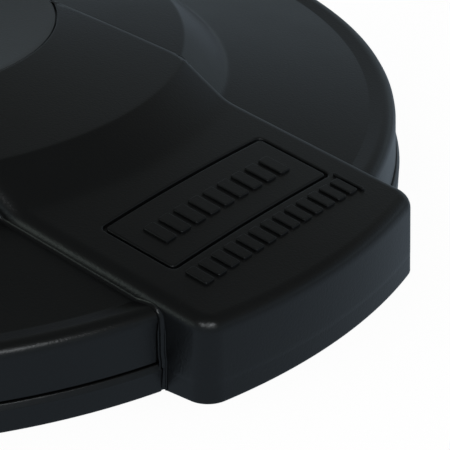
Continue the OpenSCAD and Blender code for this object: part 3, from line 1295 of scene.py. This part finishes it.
    def chain(self, side_y: Array) -> SideLine:
        """The outline at the ground, from the right side round the front to the left side.

        The sides are straight, the corners are arcs and the front is an arc about the lid's axis. The grid's
        last row starts and ends at the middles of the two corner arcs.

        Args:
            side_y: y of the rows that end on a straight side.

        Returns:
            The outline's points and normals.
        """
        s = self.sizes
        centre_x = s.handle_hw - s.corner_r
        centre_y = -math.sqrt((s.handle_r - s.corner_r) ** 2 - centre_x**2)
        whole = math.atan2(-centre_y, centre_x)
        straight = np.stack([np.full_like(side_y, s.handle_hw), side_y], 1)
        turn = np.concatenate([
            np.linspace(0, whole / 2, self.corner_rows)[:-1],
            np.linspace(whole / 2, whole, self.outer_cols + 1),
        ])
        turn_normal = np.stack([np.cos(turn), -np.sin(turn)], 1)
        corner = np.array([centre_x, centre_y]) + s.corner_r * turn_normal
        swing = (math.pi / 2 - whole) * crowded(self.inner_cols)[::-1]
        front_normal = np.stack([np.sin(swing), -np.cos(swing)], 1)[1:-1]
        right = np.concatenate([straight, corner])
        right_normal = np.concatenate([np.tile([1.0, 0.0], (len(side_y), 1)), turn_normal])
        mirror = np.array([-1.0, 1.0])
        return SideLine(
            np.concatenate([right, s.handle_r * front_normal, right[::-1] * mirror]),
            np.concatenate([right_normal, front_normal, right_normal[::-1] * mirror]),
        )

    def plan_grid(self, border: Array, arcs: Array, straight: Array) -> Array:
        """Plan of the upper face's grid inside a border line.

        The first rows are arcs about the axis, and a few more lead from them to the straight rows round the
        plate. The last rows fill the space to the front as the sum of the two blends between opposite
        borders, less the blend of the four corners.

        Args:
            border: The border's points, in the order of chain.
            arcs: Radii of the curved rows.
            straight: y of the straight rows.

        Returns:
            Points, rows by columns by two.
        """
        curved, level = len(arcs), len(arcs) + self.blend_rows + len(straight)
        rows = level + self.corner_rows
        cols = self.inner_cols + 2 * self.outer_cols
        right, left = border[:rows], border[-rows:][::-1]
        front = border[rows - 1 : rows - 1 + cols][::-1]
        inner_x = (self.plate_w / 2 + self.window_margin) * crowded(self.inner_cols)
        share = np.arange(self.outer_cols, 0, -1) / self.outer_cols
        edge = inner_x[-1]
        left_x = -edge + (left[:, :1] + edge) * share
        right_x = edge + (right[:, :1] - edge) * share[::-1]
        x = np.concatenate([left_x, np.broadcast_to(inner_x, (rows, self.inner_cols)), right_x], 1)
        y = np.zeros_like(x)
        y[:curved] = -np.sqrt(arcs[:, None] ** 2 - x[:curved] ** 2)
        leading = slice(curved, curved + self.blend_rows)
        blend = np.linspace(0, 1, self.blend_rows + 2)[1:-1, None]
        start = -np.sqrt(arcs[-1] ** 2 - x[leading] ** 2)
        y[leading] = start + (straight[0] - start) * blend
        y[leading.stop : level] = straight[:, None]
        u = ((x[level - 1] - x[level - 1, 0]) / (x[level - 1, -1] - x[level - 1, 0]))[None, :, None]
        steps = np.linalg.norm(np.diff(right[level - 1 :], axis=0), axis=1)
        v = (np.concatenate([[0.0], np.cumsum(steps)]) / steps.sum())[:, None, None]
        first = np.stack([x[level - 1], y[level - 1]], -1)[None]
        sides = (1 - u) * left[level - 1 :, None] + u * right[level - 1 :, None]
        rows_blend = (1 - v) * first + v * front[None]
        corners = (1 - v) * ((1 - u) * first[:, :1] + u * first[:, -1:]) + v * (
            (1 - u) * front[None, :1] + u * front[None, -1:]
        )
        grid = np.stack([x, y], -1)
        grid[level - 1 :] = sides + rows_blend - corners
        return grid

    def side_rows(self, arcs: Array, straight: Array) -> Array:
        """Where the rows meet the side wall.

        Args:
            arcs: Radii of the curved rows.
            straight: y of the straight rows.

        Returns:
            y of each row's end.
        """
        x = self.sizes.handle_hw - 4 * MM
        start = -np.sqrt(arcs**2 - x**2)
        blend = np.linspace(0, 1, self.blend_rows + 2)[1:-1]
        return np.concatenate([start, start[-1] + (straight[0] - start[-1]) * blend, straight])

    def add_recess(self, points: list[Array], faces: list[Array], rim: Array, plan: Array) -> None:
        """Adds the plate's recess, which fills the window left in the upper face.

        Rings run from the window to the recess's edge, round the edge through a quarter circle, down the wall
        and in along the floor, which one fan closes.

        Args:
            points: The points so far. Takes the new ones.
            faces: Takes the new faces.
            rim: Point numbers round the window.
            plan: Their plan positions.
        """
        cols, rows = crowded(self.inner_cols), crowded(self.window_rows)
        half_w, half_l = self.plate_w / 2, self.plate_l / 2
        outline, normal = rounded_rectangle(cols, rows, half_w, half_l, self.plate_corner)
        flip = np.array([1.0, -1.0])
        outline = outline * flip + np.array([0.0, self.plate_y])
        normal = normal * flip
        edge, floor = self.recess_edge, self.recess_depth
        quarter = np.linspace(0, math.pi / 2, EDGE_STEPS)
        brink = outline + normal * edge
        rings = [(plan + (brink - plan) * share, 0.0) for share in (0.4, 0.8)]
        rings += [(outline + normal * edge * (1 - math.sin(p)), edge * (1 - math.cos(p))) for p in quarter]
        rings.append((outline - normal * 0.06 * MM, floor - 0.3 * MM))
        rings += [(outline - normal * inset, floor) for inset in (0.25 * MM, 1.5 * MM, 3.5 * MM)]
        line, count, size = rim, sum(len(part) for part in points), len(rim)
        for ring, drop in rings:
            points.append(np.column_stack([ring, self.face(*ring.T) - drop]))
            new = count + np.arange(size)
            faces.append(strip_quads(line, new, True)[:, ::-1])
            line, count = new, count + size
        middle = np.array([[0.0, self.plate_y]])
        points.append(np.column_stack([middle, self.face(*middle.T) - floor]))
        faces.append(np.stack([line, np.roll(line, -1), np.full(size, count)], -1))

    def last_turn(self, rise: Array, radius: Array | float) -> Array:
        """Steepest slope of a side that rises in two equal turns, one round and one hollow.

        The two arcs together rise by the sum of their radii times (1 - cos q), so that gives the angle q. It
        is a right angle where the side is taller than that.

        Args:
            rise: Height of the side.
            radius: Radius of the round edge above.

        Returns:
            The angle from level.
        """
        return np.arccos(np.clip(1 - rise / (radius + self.low_bead), 0.0, 1.0))

    def side_wall(self, line: SideLine) -> SideWall:
        """Fits the side wall between the upper face and what it stands on.

        Both depend on how far the wall's top and foot are drawn in, and the draft makes that depend on their
        height, so a few rounds bring the two together. The round edge ends at the angle q where a hollow arc
        at the foot can take over, and turns a full quarter towards the rim.

        Args:
            line: The handle's outline at the ground.

        Returns:
            The wall.
        """
        s = self.sizes
        slope = math.tan(s.draft)
        radius = self.side_round + (self.front_round - self.side_round) * smooth_step(-line.normals[:, 1])
        top_in = np.full(len(line.points), slope * s.rim_h)
        for _ in range(self.fit_rounds):
            plan = line.drawn_in(top_in)
            crest, foot = self.face(*plan.T), self.foot(*plan.T)
            last_turn = self.last_turn(crest - foot, radius)
            near_rim = smooth_step((np.hypot(*plan.T) - s.cover_r + self.blend_l) / self.blend_l)
            last_turn = last_turn + (math.pi / 2 - last_turn) * near_rim
            top = crest - radius * (1 - np.cos(last_turn))
            top_in = slope * top
        foot = np.minimum(self.foot(*line.drawn_in(slope * foot).T), top - self.least_wall)
        return SideWall(line, slope, radius, last_turn, top_in, top, foot)

    def outer_rings(self, wall: SideWall) -> list[Array]:
        """Lines of points down the outside: round the edge, down the wall and round its foot.

        At angle p of the turn the inset is r (sin q - sin p) and the drop is r (1 - cos p). A wall point at
        height z is inset by z times the draft's tangent, and by a little more below the witness line.

        Args:
            wall: The side wall.

        Returns:
            The lines, from the upper face's border on.
        """
        rings = []
        for turn in np.linspace(0, 1, 10)[:, None] * wall.last_turn:
            reach = wall.radius * (np.sin(wall.last_turn) - np.sin(turn))
            plan = wall.line.drawn_in(wall.top_in + reach)
            rings.append(np.column_stack([plan, self.face(*plan.T) - wall.radius * (1 - np.cos(turn))]))
        height, step = wall.top - wall.foot, self.witness_in
        tall = wall.foot < self.sizes.witness_h
        middle = np.where(tall, self.sizes.witness_h, wall.foot + 0.3 * height)
        edge = self.foot_edge(wall)
        levels = [(wall.top + (middle - wall.top) * share, 0.0) for share in (0.04, 0.3, 0.6, 0.9)]
        levels += [(middle + self.witness_half * tall, 0.0), (middle - self.witness_half * tall, step)]
        levels += [(middle + (wall.foot + edge - middle) * share, step) for share in (0.1, 0.5, 0.9)]
        for level, inset in levels:
            rings.append(np.column_stack([wall.line.drawn_in(wall.slope * level + inset), level]))
        for turn in np.linspace(0, math.pi / 2, 4):
            plan = wall.line.drawn_in(wall.slope * wall.foot + step + edge * (1 - math.cos(turn)))
            rings.append(np.column_stack([plan, wall.foot + edge * (1 - math.sin(turn))]))
        return rings

    def foot_edge(self, wall: SideWall) -> Array:
        """Radius of the rounding at the wall's foot, smaller where the wall is low."""
        return np.minimum(self.foot_round, self.foot_round_share * (wall.top - wall.foot))

    def inner_rings(self, wall: SideWall) -> list[Array]:
        """Lines of points up the inside: along the foot, up the wall and round to the inner face.

        Args:
            wall: The side wall.

        Returns:
            The lines, up to the inner face's border.
        """
        lining = self.sizes.handle_t
        inner_round = np.maximum(wall.fall - lining, self.least_inner_round)
        top = self.ceiling(wall.line.drawn_in(wall.top_in + lining + inner_round))
        low = wall.foot + np.minimum(self.inner_foot_round, self.foot_round_share * (top - wall.foot))
        foot_in = wall.slope * wall.foot + lining
        rings = [
            np.column_stack([wall.line.drawn_in(foot_in - 0.5 * self.foot_edge(wall)), wall.foot]),
            np.column_stack([wall.line.drawn_in(foot_in), low]),
            np.column_stack([wall.line.drawn_in(wall.top_in + lining), np.maximum(top - inner_round, low)]),
        ]
        for turn in (math.pi / 4, 0.0):
            plan = wall.line.drawn_in(wall.top_in + lining + inner_round * (1 - math.sin(turn)))
            drop = inner_round * (1 - math.cos(turn))
            rings.append(np.column_stack([plan, np.maximum(self.ceiling(plan) - drop, low)]))
        return rings

    def add_shell(self, builder: ShellBuilder) -> None:
        """Adds the handle and strap as one hollow shell.

        From the upper face's border the surface turns down the side wall, round its foot and up inside to
        the inner face. A strip joins the two faces at the end beside the cap. The window that the plate's
        recess fills is left out of the upper face.

        Args:
            builder: Takes the shell.
        """
        arcs, straight = self.row_places()
        wall = self.side_wall(self.chain(self.side_rows(arcs, straight)))
        rings = self.outer_rings(wall) + self.inner_rings(wall)
        grid, hollow = (self.plan_grid(ring[:, :2], arcs, straight) for ring in (rings[0], rings[-1]))
        rows, cols = grid.shape[:2]
        flat, flat_hollow = grid.reshape(-1, 2), hollow.reshape(-1, 2)
        points = [np.column_stack([flat, self.face(*flat.T)]), *rings[1:-1]]
        hollow_base = sum(len(part) for part in points)
        points.append(np.column_stack([flat_hollow, self.ceiling(flat_hollow)]))

        number = np.arange(rows * cols).reshape(rows, cols)
        border = np.concatenate([number[:, -1], number[-1, -2::-1], number[-2::-1, 0]])
        places = rows * cols + np.arange((len(rings) - 2) * len(border))
        lines = [border, *places.reshape(-1, len(border)), border + hollow_base]
        first_row = len(arcs) + self.blend_rows
        window = number[first_row : first_row + self.window_rows,
            self.outer_cols : self.outer_cols + self.inner_cols]
        rim = window.ravel()[grid_rim(self.window_rows, self.inner_cols)]
        quads = grid_quads(rows, cols)
        faces = [quads[~np.isin(quads[:, 0], window[:-1, :-1])]]
        faces += [strip_quads(a, b) for a, b in zip(lines, lines[1:])]
        faces.append(quads[:, ::-1] + hollow_base)
        faces.append(strip_quads(number[0], number[0] + hollow_base))
        faces.append(np.array([[line[0] for line in lines[::-1]]]))
        faces.append(np.array([[line[-1] for line in lines]]))
        self.add_recess(points, faces, rim, flat[rim])
        builder.add(self.end.turned(np.concatenate(points)), faces)

    def add_bead(self, builder: ShellBuilder, outline: Array, side: float) -> None:
        """Adds the hollow bead in the corner between a wall and the cover.

        Its section is a hollow arc that carries on from the wall's slope. Where the wall is tall the hollow
        lies between two rounded lips, one on the cover's face and one on the wall. Its back is sunk in both.
        The section is worked out for a bead of size 1 and scaled at the end. The bead swells a little over
        the seam.

        Args:
            builder: Takes the shell.
            outline: The cover's upper outline, from the cap's opening to the foot of its wall.
            side: 1 for the right wall and -1 for the left one.
        """
        s = self.sizes
        line = densified(outline, self.bead_step)
        radius, height = line.T
        below = (s.ring_h + self.swell_start - height) / self.swell_l
        radius = radius + self.seam_swell * smooth_step(below)
        run = np.gradient(line, axis=0)
        out = np.stack([-run[:, 1], run[:, 0]], 1)
        out /= np.linalg.norm(out, axis=1, keepdims=True)
        out *= np.sign(out[:, :1] + out[:, 1:])
        x = s.handle_hw - math.tan(s.draft) * height
        y = -np.sqrt(radius**2 - x**2)
        away = np.stack([np.zeros_like(x), out[:, 0] * y / radius, out[:, 1]], 1)
        away /= np.linalg.norm(away, axis=1, keepdims=True)
        rise = s.strap_line().height(radius) - height
        steep = self.last_turn(rise, self.side_round)[:, None]
        tall = smooth_step((rise - self.bead_tall) / self.bead_growth)[:, None]
        size = self.low_bead + (self.bead - self.low_bead) * tall
        lip = self.bead_lip * (self.low_lip_share + (1 - self.low_lip_share) * tall)
        turn = np.linspace(0, 1, 8) * steep
        hollow = 1 - (np.sin(turn) / np.sin(steep)) ** (1 - self.hollow_bend * tall)
        round_lip = np.linspace(0, math.pi, 6)
        crown = self.lip_crown * lip * (1 + np.sin(round_lip))
        offset = self.lip_stretch * lip
        reach = np.sin(steep) + lip * (self.lip_stretch + np.cos(round_lip))
        climb = 1 - np.cos(steep) + lip * (self.lip_stretch + np.cos(round_lip))
        back = np.full_like(lip, -self.bead_sink)
        sideways = [reach[:, :1], reach, offset + np.sin(steep) * hollow, crown[:, ::-1], back, back]
        upwards = [back, crown, offset + 1 - np.cos(turn), climb[:, ::-1], climb[:, :1], back]
        sideways = (size * np.concatenate(sideways, 1))[..., None]
        upwards = (size * np.concatenate(upwards, 1))[..., None]
        place = np.stack([x, y, height], 1)[:, None]
        sections = place + sideways * np.array([1.0, 0.0, 0.0]) + upwards * away[:, None]
        sections[..., 0] *= side
        add_sweep(builder, self.end.turned(sections))

    def add_bar(
        self, builder: ShellBuilder, x: float, y: float, width: float, length: float, rows: int
    ) -> None:
        """Adds a low bar on the upper face, sunk a little into it.

        Args:
            builder: Takes the shell.
            x: Place of its middle across the strap.
            y: Place of its middle along the strap.
            width: Its width across the strap.
            length: Its length along the strap.
            rows: Rows of points along it.
        """
        bar = RoundedSlab(x, y, width / 2, length / 2, self.bar_corner, self.bar_edge, self.bar_h,
            -self.bar_sink, 8, rows)
        bar.add_to(builder, self.face, self.end)

    def add_bar_row(self, builder: ShellBuilder, count: int, span: float, y: float, length: float) -> None:
        """Adds a row of even bars across the strap.

        Args:
            builder: Takes the shells.
            count: Number of bars.
            span: Width that they share, gaps included.
            y: Place of the row along the strap.
            length: Length of each bar.
        """
        pitch = span / count
        for number in range(count):
            x = (number + 0.5) * pitch - span / 2
            self.add_bar(builder, x, y, pitch * self.bar_fill, length, 10)

    def build(self, finishes: FinishShelf, cover: Cover) -> None:
        """Builds the handle with its beads, the bars before the plate and the short rib at their right end.

        Args:
            finishes: Gives the handle its finish, body and slot.
            cover: The cover that the handle stands on.
        """
        builder = ShellBuilder()
        self.add_shell(builder)
        outline = cover.upper_outline()
        for side in (-1.0, 1.0):
            self.add_bead(builder, outline, side)
        self.add_bar_row(builder, self.grip_bars, self.grip_span, self.grip_y, self.grip_l)
        rib_x, rib_y = self.plate_w / 2 + self.rib_out, self.grip_y + self.rib_back
        self.add_bar(builder, rib_x, rib_y, self.rib_w, self.rib_l, 16)
        name = self.end.name.lower()
        piece = builder.build(f"{name}_grip_handle")
        finishes.dress(piece, Slot.HANDLE, Body.COVER, f"{name}_handle")


@dataclass(frozen=True)
class InlaidPlate:
    """The plain plate inlaid in a strap, with its grip bars."""

    handle: CarryingHandle
    gap: float = 1.9 * MM
    thickness: float = 1.8 * MM
    edge: float = 0.9 * MM
    bars: int = 9
    bar_l: float = 15.0 * MM
    bar_margin: float = 12.0 * MM

    def build(self, finishes: FinishShelf) -> None:
        """Builds the plate and its bars, and dresses them.

        Args:
            finishes: Gives the plate its finish, body and slot.
        """
        handle = self.handle
        builder = ShellBuilder()
        half_w, half_l = handle.plate_w / 2 - self.gap, handle.plate_l / 2 - self.gap
        plate = RoundedSlab(0.0, handle.plate_y, half_w, half_l, handle.plate_corner - self.gap, self.edge,
            0.0, -self.thickness, 41, 25)
        plate.add_to(builder, handle.face, handle.end)
        span = handle.plate_w - 2 * self.bar_margin
        handle.add_bar_row(builder, self.bars, span, handle.plate_y, self.bar_l)
        name = handle.end.name.lower()
        piece = builder.build(f"{name}_inlaid_plate")
        finishes.dress(piece, Slot.PLATE, Body.COVER, f"{name}_label_plate")


@dataclass(frozen=True)
class CentreCap:
    """The dished cap in the middle of the dome, with the screw that holds it from below."""

    sizes: LidSizes
    gap: float = 0.6 * MM
    dish: float = 4.0 * MM
    edge: float = 0.7 * MM
    under_edge: float = 0.3 * MM
    boss_r: float = 5.0 * MM
    boss_fillet: float = 0.5 * MM
    columns: int = 192

    def build(self, finishes: FinishShelf) -> None:
        """Turns the cap about the lid's axis. The dish is a parabola over the radius.

        Args:
            finishes: Gives the cap its finish, body and slot.
        """
        s = self.sizes
        rim_r = s.cap_r - self.gap
        seat = s.cap_edge_h - s.cap_t
        well_h = s.cap_edge_h - s.well_depth
        radius = np.linspace(0.0, rim_r - self.edge, 26)
        dish = s.cap_edge_h - self.dish * (1 - (radius / rim_r) ** 2)
        turn = np.linspace(math.pi / 2, 0, 6)[1:]
        edge_r, edge_h = rim_r - self.edge, dish[-1] - self.edge
        round_edge = np.stack([edge_r + self.edge * np.cos(turn), edge_h + self.edge * np.sin(turn)], 1)
        under_r = np.linspace(s.cap_r - s.well_lip - s.clear, self.boss_r + self.boss_fillet, 16)
        under = s.cap_edge_h - self.dish * (1 - (under_r / rim_r) ** 2) - s.cap_t
        below = np.array([
            [rim_r, seat + self.under_edge], [rim_r - self.under_edge, seat], [under_r[0], seat],
        ])
        boss = np.array([[self.boss_r, under[-1] - self.boss_fillet], [self.boss_r, well_h], [0.0, well_h]])
        upper, lower = np.stack([radius, dish], 1), np.stack([under_r, under], 1)[1:]
        builder = ShellBuilder()
        line = np.concatenate([upper, round_edge, below, lower, boss])
        add_turned_solid(builder, line, np.zeros(3), self.columns)
        finishes.dress(builder.build("dished_centre_cap"), Slot.CAP, Body.COVER, "centre_cap")

    def build_screw(self, finishes: FinishShelf, screws: HandleScrews) -> None:
        """Places the cap's screw under the well.

        Args:
            finishes: Gives the screw its finish, body and slot.
            screws: The handles' screws, which are of the same kind.
        """
        s = self.sizes
        well_h = s.cap_edge_h - s.well_depth
        length = s.cover_t + s.well_depth - self.dish - screws.skin - s.clear
        builder = ShellBuilder()
        screws.add_screw(builder, np.array([0.0, 0.0, well_h - s.cover_t]), length)
        finishes.dress(builder.build("cap_pan_screw"), Slot.SCREW, Body.COVER, "cap_screw")


# ---------------------------------------------------------------------------------------------
# Studio
# ---------------------------------------------------------------------------------------------


@dataclass(frozen=True)
class SoftLamp:
    """A rectangular soft lamp that points at the lid."""

    name: str
    azimuth: float
    elevation: float
    distance: float
    width: float
    height: float
    power: float
    colour: Colour

    def build(self) -> None:
        """Hangs the lamp. Azimuth 0 is in front of the lid and 90 on its right."""
        data = bpy.data.lights.new(self.name, "AREA")
        data.shape = "RECTANGLE"
        data.size, data.size_y = self.width, self.height
        data.energy = self.power
        data.color = self.colour
        lamp = bpy.data.objects.new(self.name, data)
        bpy.context.scene.collection.objects.link(lamp)
        away = direction(self.azimuth, self.elevation)
        lamp.location = away * self.distance
        lamp.rotation_mode = "QUATERNION"
        lamp.rotation_quaternion = (-away).to_track_quat("-Z", "Y")


def direction(azimuth: float, elevation: float) -> Vector:
    """Unit vector towards a place round the lid. Azimuth 0 degrees is the front and 90 the right side."""
    a, e = math.radians(azimuth), math.radians(elevation)
    return Vector((math.sin(a) * math.cos(e), -math.cos(a) * math.cos(e), math.sin(e)))


@dataclass(frozen=True)
class ProductCamera:
    """The camera that looks down on the front handle from the left."""

    azimuth: float = -51.8156
    elevation: float = 28.2917
    distance: float = 1192.879 * MM
    target: tuple[float, float, float] = (59.8914 * MM, -193.1939 * MM, 0.0)
    lens: float = 180.546
    sensor: float = 36.0

    def build(self) -> None:
        """Places the camera and makes it the scene's own."""
        data = bpy.data.cameras.new("product_camera")
        data.lens, data.sensor_width = self.lens, self.sensor
        data.clip_start, data.clip_end = 0.01, 100.0
        camera = bpy.data.objects.new("product_camera", data)
        bpy.context.scene.collection.objects.link(camera)
        away = direction(self.azimuth, self.elevation)
        camera.location = Vector(self.target) + away * self.distance
        camera.rotation_mode = "QUATERNION"
        camera.rotation_quaternion = (-away).to_track_quat("-Z", "Y")
        bpy.context.scene.camera = camera


@dataclass(frozen=True)
class Studio:
    """A floor, a sky and soft lamps.

    The floor and the sky are white to the eye. Black gloss shows little but what it mirrors, so mirrored rays
    meet levels of their own. Diffuse light comes from the lamps and an even fill.
    """

    WHITE = (1.0, 1.0, 1.0, 1.0)
    floor_r: float = 6.0
    floor_drop: float = 0.02 * MM
    floor_rings: int = 12
    floor_spokes: int = 64
    floor_colour: Colour = (0.8, 0.8, 0.8)
    floor_glow: float = 0.95
    floor_mirrored: Colour = (0.25, 0.305, 0.36)
    sky_stops: tuple[tuple[float, float, float, float], ...] = (
        (0.0, 0.06, 0.06, 0.07),
        (0.2, 0.33, 0.41, 0.45),
        (0.36, 0.12, 0.135, 0.175),
        (0.5, 0.16, 0.185, 0.17),
        (0.6, 0.09, 0.09, 0.09),
        (0.72, 0.08, 0.09, 0.09),
        (0.9, 0.07, 0.08, 0.08),
    )
    fill: float = 0.9
    lamps: tuple[SoftLamp, ...] = (
        SoftLamp("left_key_lamp", -62.0, 38.0, 2.4, 0.6, 0.5, 5.0, (0.92, 0.97, 1.0)),
        SoftLamp("right_key_lamp", -26.0, 38.0, 2.4, 0.8, 0.5, 8.0, (0.92, 0.97, 1.0)),
        SoftLamp("back_left_lamp", -124.0, 14.0, 2.4, 0.9, 0.9, 2.7, (0.88, 1.0, 0.84)),
    )

    def floor(self) -> None:
        """Lays the floor: a disc of rings whose radii grow evenly, closed at its middle."""
        spokes = np.arange(self.floor_spokes)
        radii = np.linspace(0.0, self.floor_r, self.floor_rings + 1)[1:, None]
        angles = spokes * 2 * math.pi / self.floor_spokes
        level = np.full((self.floor_rings, self.floor_spokes), -self.floor_drop)
        rings = np.stack([radii * np.cos(angles), radii * np.sin(angles), level], -1).reshape(-1, 3)
        points = np.concatenate([rings, [[0.0, 0.0, -self.floor_drop]]])
        quads = grid_quads(self.floor_rings, self.floor_spokes, False, True)
        middle = np.stack([spokes, np.roll(spokes, -1), np.full_like(spokes, len(rings))], -1)
        mesh = bpy.data.meshes.new("studio_floor")
        mesh.from_pydata(points.tolist(), [], quads.tolist() + middle.tolist())
        floor = bpy.data.objects.new("studio_floor", mesh)
        bpy.context.scene.collection.objects.link(floor)
        mesh.materials.append(self.floor_material())
        floor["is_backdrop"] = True

    def seen(
        self, nodes: bpy.types.Nodes, links: bpy.types.NodeLinks, shown: float, mirrored: float
    ) -> bpy.types.NodeSocket:
        """A share of plain glow for each kind of ray.

        Args:
            nodes: Takes the new nodes.
            links: Takes their links.
            shown: The share for rays of sight.
            mirrored: The share for rays of gloss and of glass. Diffuse light gets none.

        Returns:
            The socket that gives the share.
        """
        path = nodes.new("ShaderNodeLightPath")
        indirect = nodes.new("ShaderNodeMath")
        indirect.operation = "MAXIMUM"
        lowered = nodes.new("ShaderNodeMath")
        lowered.operation = "MULTIPLY"
        lowered.inputs[1].default_value = mirrored
        share = nodes.new("ShaderNodeMath")
        share.operation = "MULTIPLY_ADD"
        share.inputs[1].default_value = shown
        links.new(path.outputs["Is Glossy Ray"], indirect.inputs[0])
        links.new(path.outputs["Is Transmission Ray"], indirect.inputs[1])
        links.new(indirect.outputs[0], lowered.inputs[0])
        links.new(path.outputs["Is Camera Ray"], share.inputs[0])
        links.new(lowered.outputs[0], share.inputs[2])
        return share.outputs[0]

    def white_to_sight(self, nodes: bpy.types.Nodes, links: bpy.types.NodeLinks) -> bpy.types.Node:
        """A colour mix that is white for rays of sight, and its first colour for every other ray.

        Args:
            nodes: Takes the new nodes.
            links: Takes their links.

        Returns:
            The mix, whose input A is still to be set.
        """
        shade = nodes.new("ShaderNodeMix")
        shade.data_type = "RGBA"
        shade.inputs["B"].default_value = self.WHITE
        links.new(self.seen(nodes, links, 1.0, 0.0), shade.inputs["Factor"])
        return shade

    def floor_material(self) -> bpy.types.Material:
        """A pale matt floor that glows white to the eye and dimmer to mirrored rays, and keeps a soft shadow.

        Returns:
            The material.
        """
        material = bpy.data.materials.new("studio_floor")
        material.use_nodes = True
        nodes, links = material.node_tree.nodes, material.node_tree.links
        nodes.remove(nodes["Principled BSDF"])
        matt = nodes.new("ShaderNodeBsdfDiffuse")
        matt.inputs["Color"].default_value = (*self.floor_colour, 1.0)
        glow = nodes.new("ShaderNodeEmission")
        shade = self.white_to_sight(nodes, links)
        shade.inputs["A"].default_value = (*self.floor_mirrored, 1.0)
        mix = nodes.new("ShaderNodeMixShader")
        links.new(shade.outputs["Result"], glow.inputs["Color"])
        links.new(self.seen(nodes, links, self.floor_glow, 1.0), mix.inputs["Fac"])
        links.new(matt.outputs[0], mix.inputs[1])
        links.new(glow.outputs[0], mix.inputs[2])
        links.new(mix.outputs[0], nodes["Material Output"].inputs["Surface"])
        return material

    def sky(self) -> None:
        """Sets the world: white to the eye, a ramp over the height for mirrored rays, and an even fill.

        The ramp is brightest in a low band above the horizon and dim overhead.
        """
        world = bpy.data.worlds.new("studio_sky")
        bpy.context.scene.world = world
        world.use_nodes = True
        nodes, links = world.node_tree.nodes, world.node_tree.links
        place = nodes.new("ShaderNodeTexCoord")
        split = nodes.new("ShaderNodeSeparateXYZ")
        ramp = nodes.new("ShaderNodeValToRGB")
        ramp.color_ramp.interpolation = "EASE"
        elements = ramp.color_ramp.elements
        while len(elements) < len(self.sky_stops):
            elements.new(0.5)
        for element, (height, *colour) in zip(elements, self.sky_stops):
            element.position = height
            element.color = (*colour, 1.0)
        shown = nodes["Background"]
        fill = nodes.new("ShaderNodeBackground")
        fill.inputs["Color"].default_value = self.WHITE
        fill.inputs["Strength"].default_value = self.fill
        shade = self.white_to_sight(nodes, links)
        mix = nodes.new("ShaderNodeMixShader")
        links.new(place.outputs["Generated"], split.inputs[0])
        links.new(split.outputs["Z"], ramp.inputs[0])
        links.new(ramp.outputs[0], shade.inputs["A"])
        links.new(shade.outputs["Result"], shown.inputs["Color"])
        links.new(self.seen(nodes, links, 1.0, 1.0), mix.inputs["Fac"])
        links.new(fill.outputs[0], mix.inputs[1])
        links.new(shown.outputs[0], mix.inputs[2])
        links.new(mix.outputs[0], nodes["World Output"].inputs["Surface"])

    def build(self) -> None:
        """Builds the floor, the sky and the lamps."""
        self.floor()
        self.sky()
        for lamp in self.lamps:
            lamp.build()
        bpy.context.scene.view_settings.view_transform = "Standard"


def main() -> tuple[Vector, Vector]:
    """Loads the frame and builds every piece round it.

    Returns:
        The frame's own box, from before any piece was made.
    """
    logging.basicConfig(level=logging.INFO, format="%(name)s: %(message)s")
    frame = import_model()
    frame_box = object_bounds()
    LOG.info("frame nodes: %s", ", ".join(sorted(frame["nodes"])))
    ProductCamera().build()
    finishes = FinishShelf()
    sizes = LidSizes()
    screws = HandleScrews(sizes)
    cover = Cover(sizes)
    RimRing(sizes).build(finishes)
    cover.build(finishes, screws)
    for end in LidEnd:
        handle = CarryingHandle(sizes, end)
        handle.build(finishes, cover)
        InlaidPlate(handle).build(finishes)
    cap = CentreCap(sizes)
    cap.build(finishes)
    cap.build_screw(finishes, screws)
    screws.build(finishes)
    Studio().build()
    return frame_box


if __name__ == "__main__":
    cad_box = main()
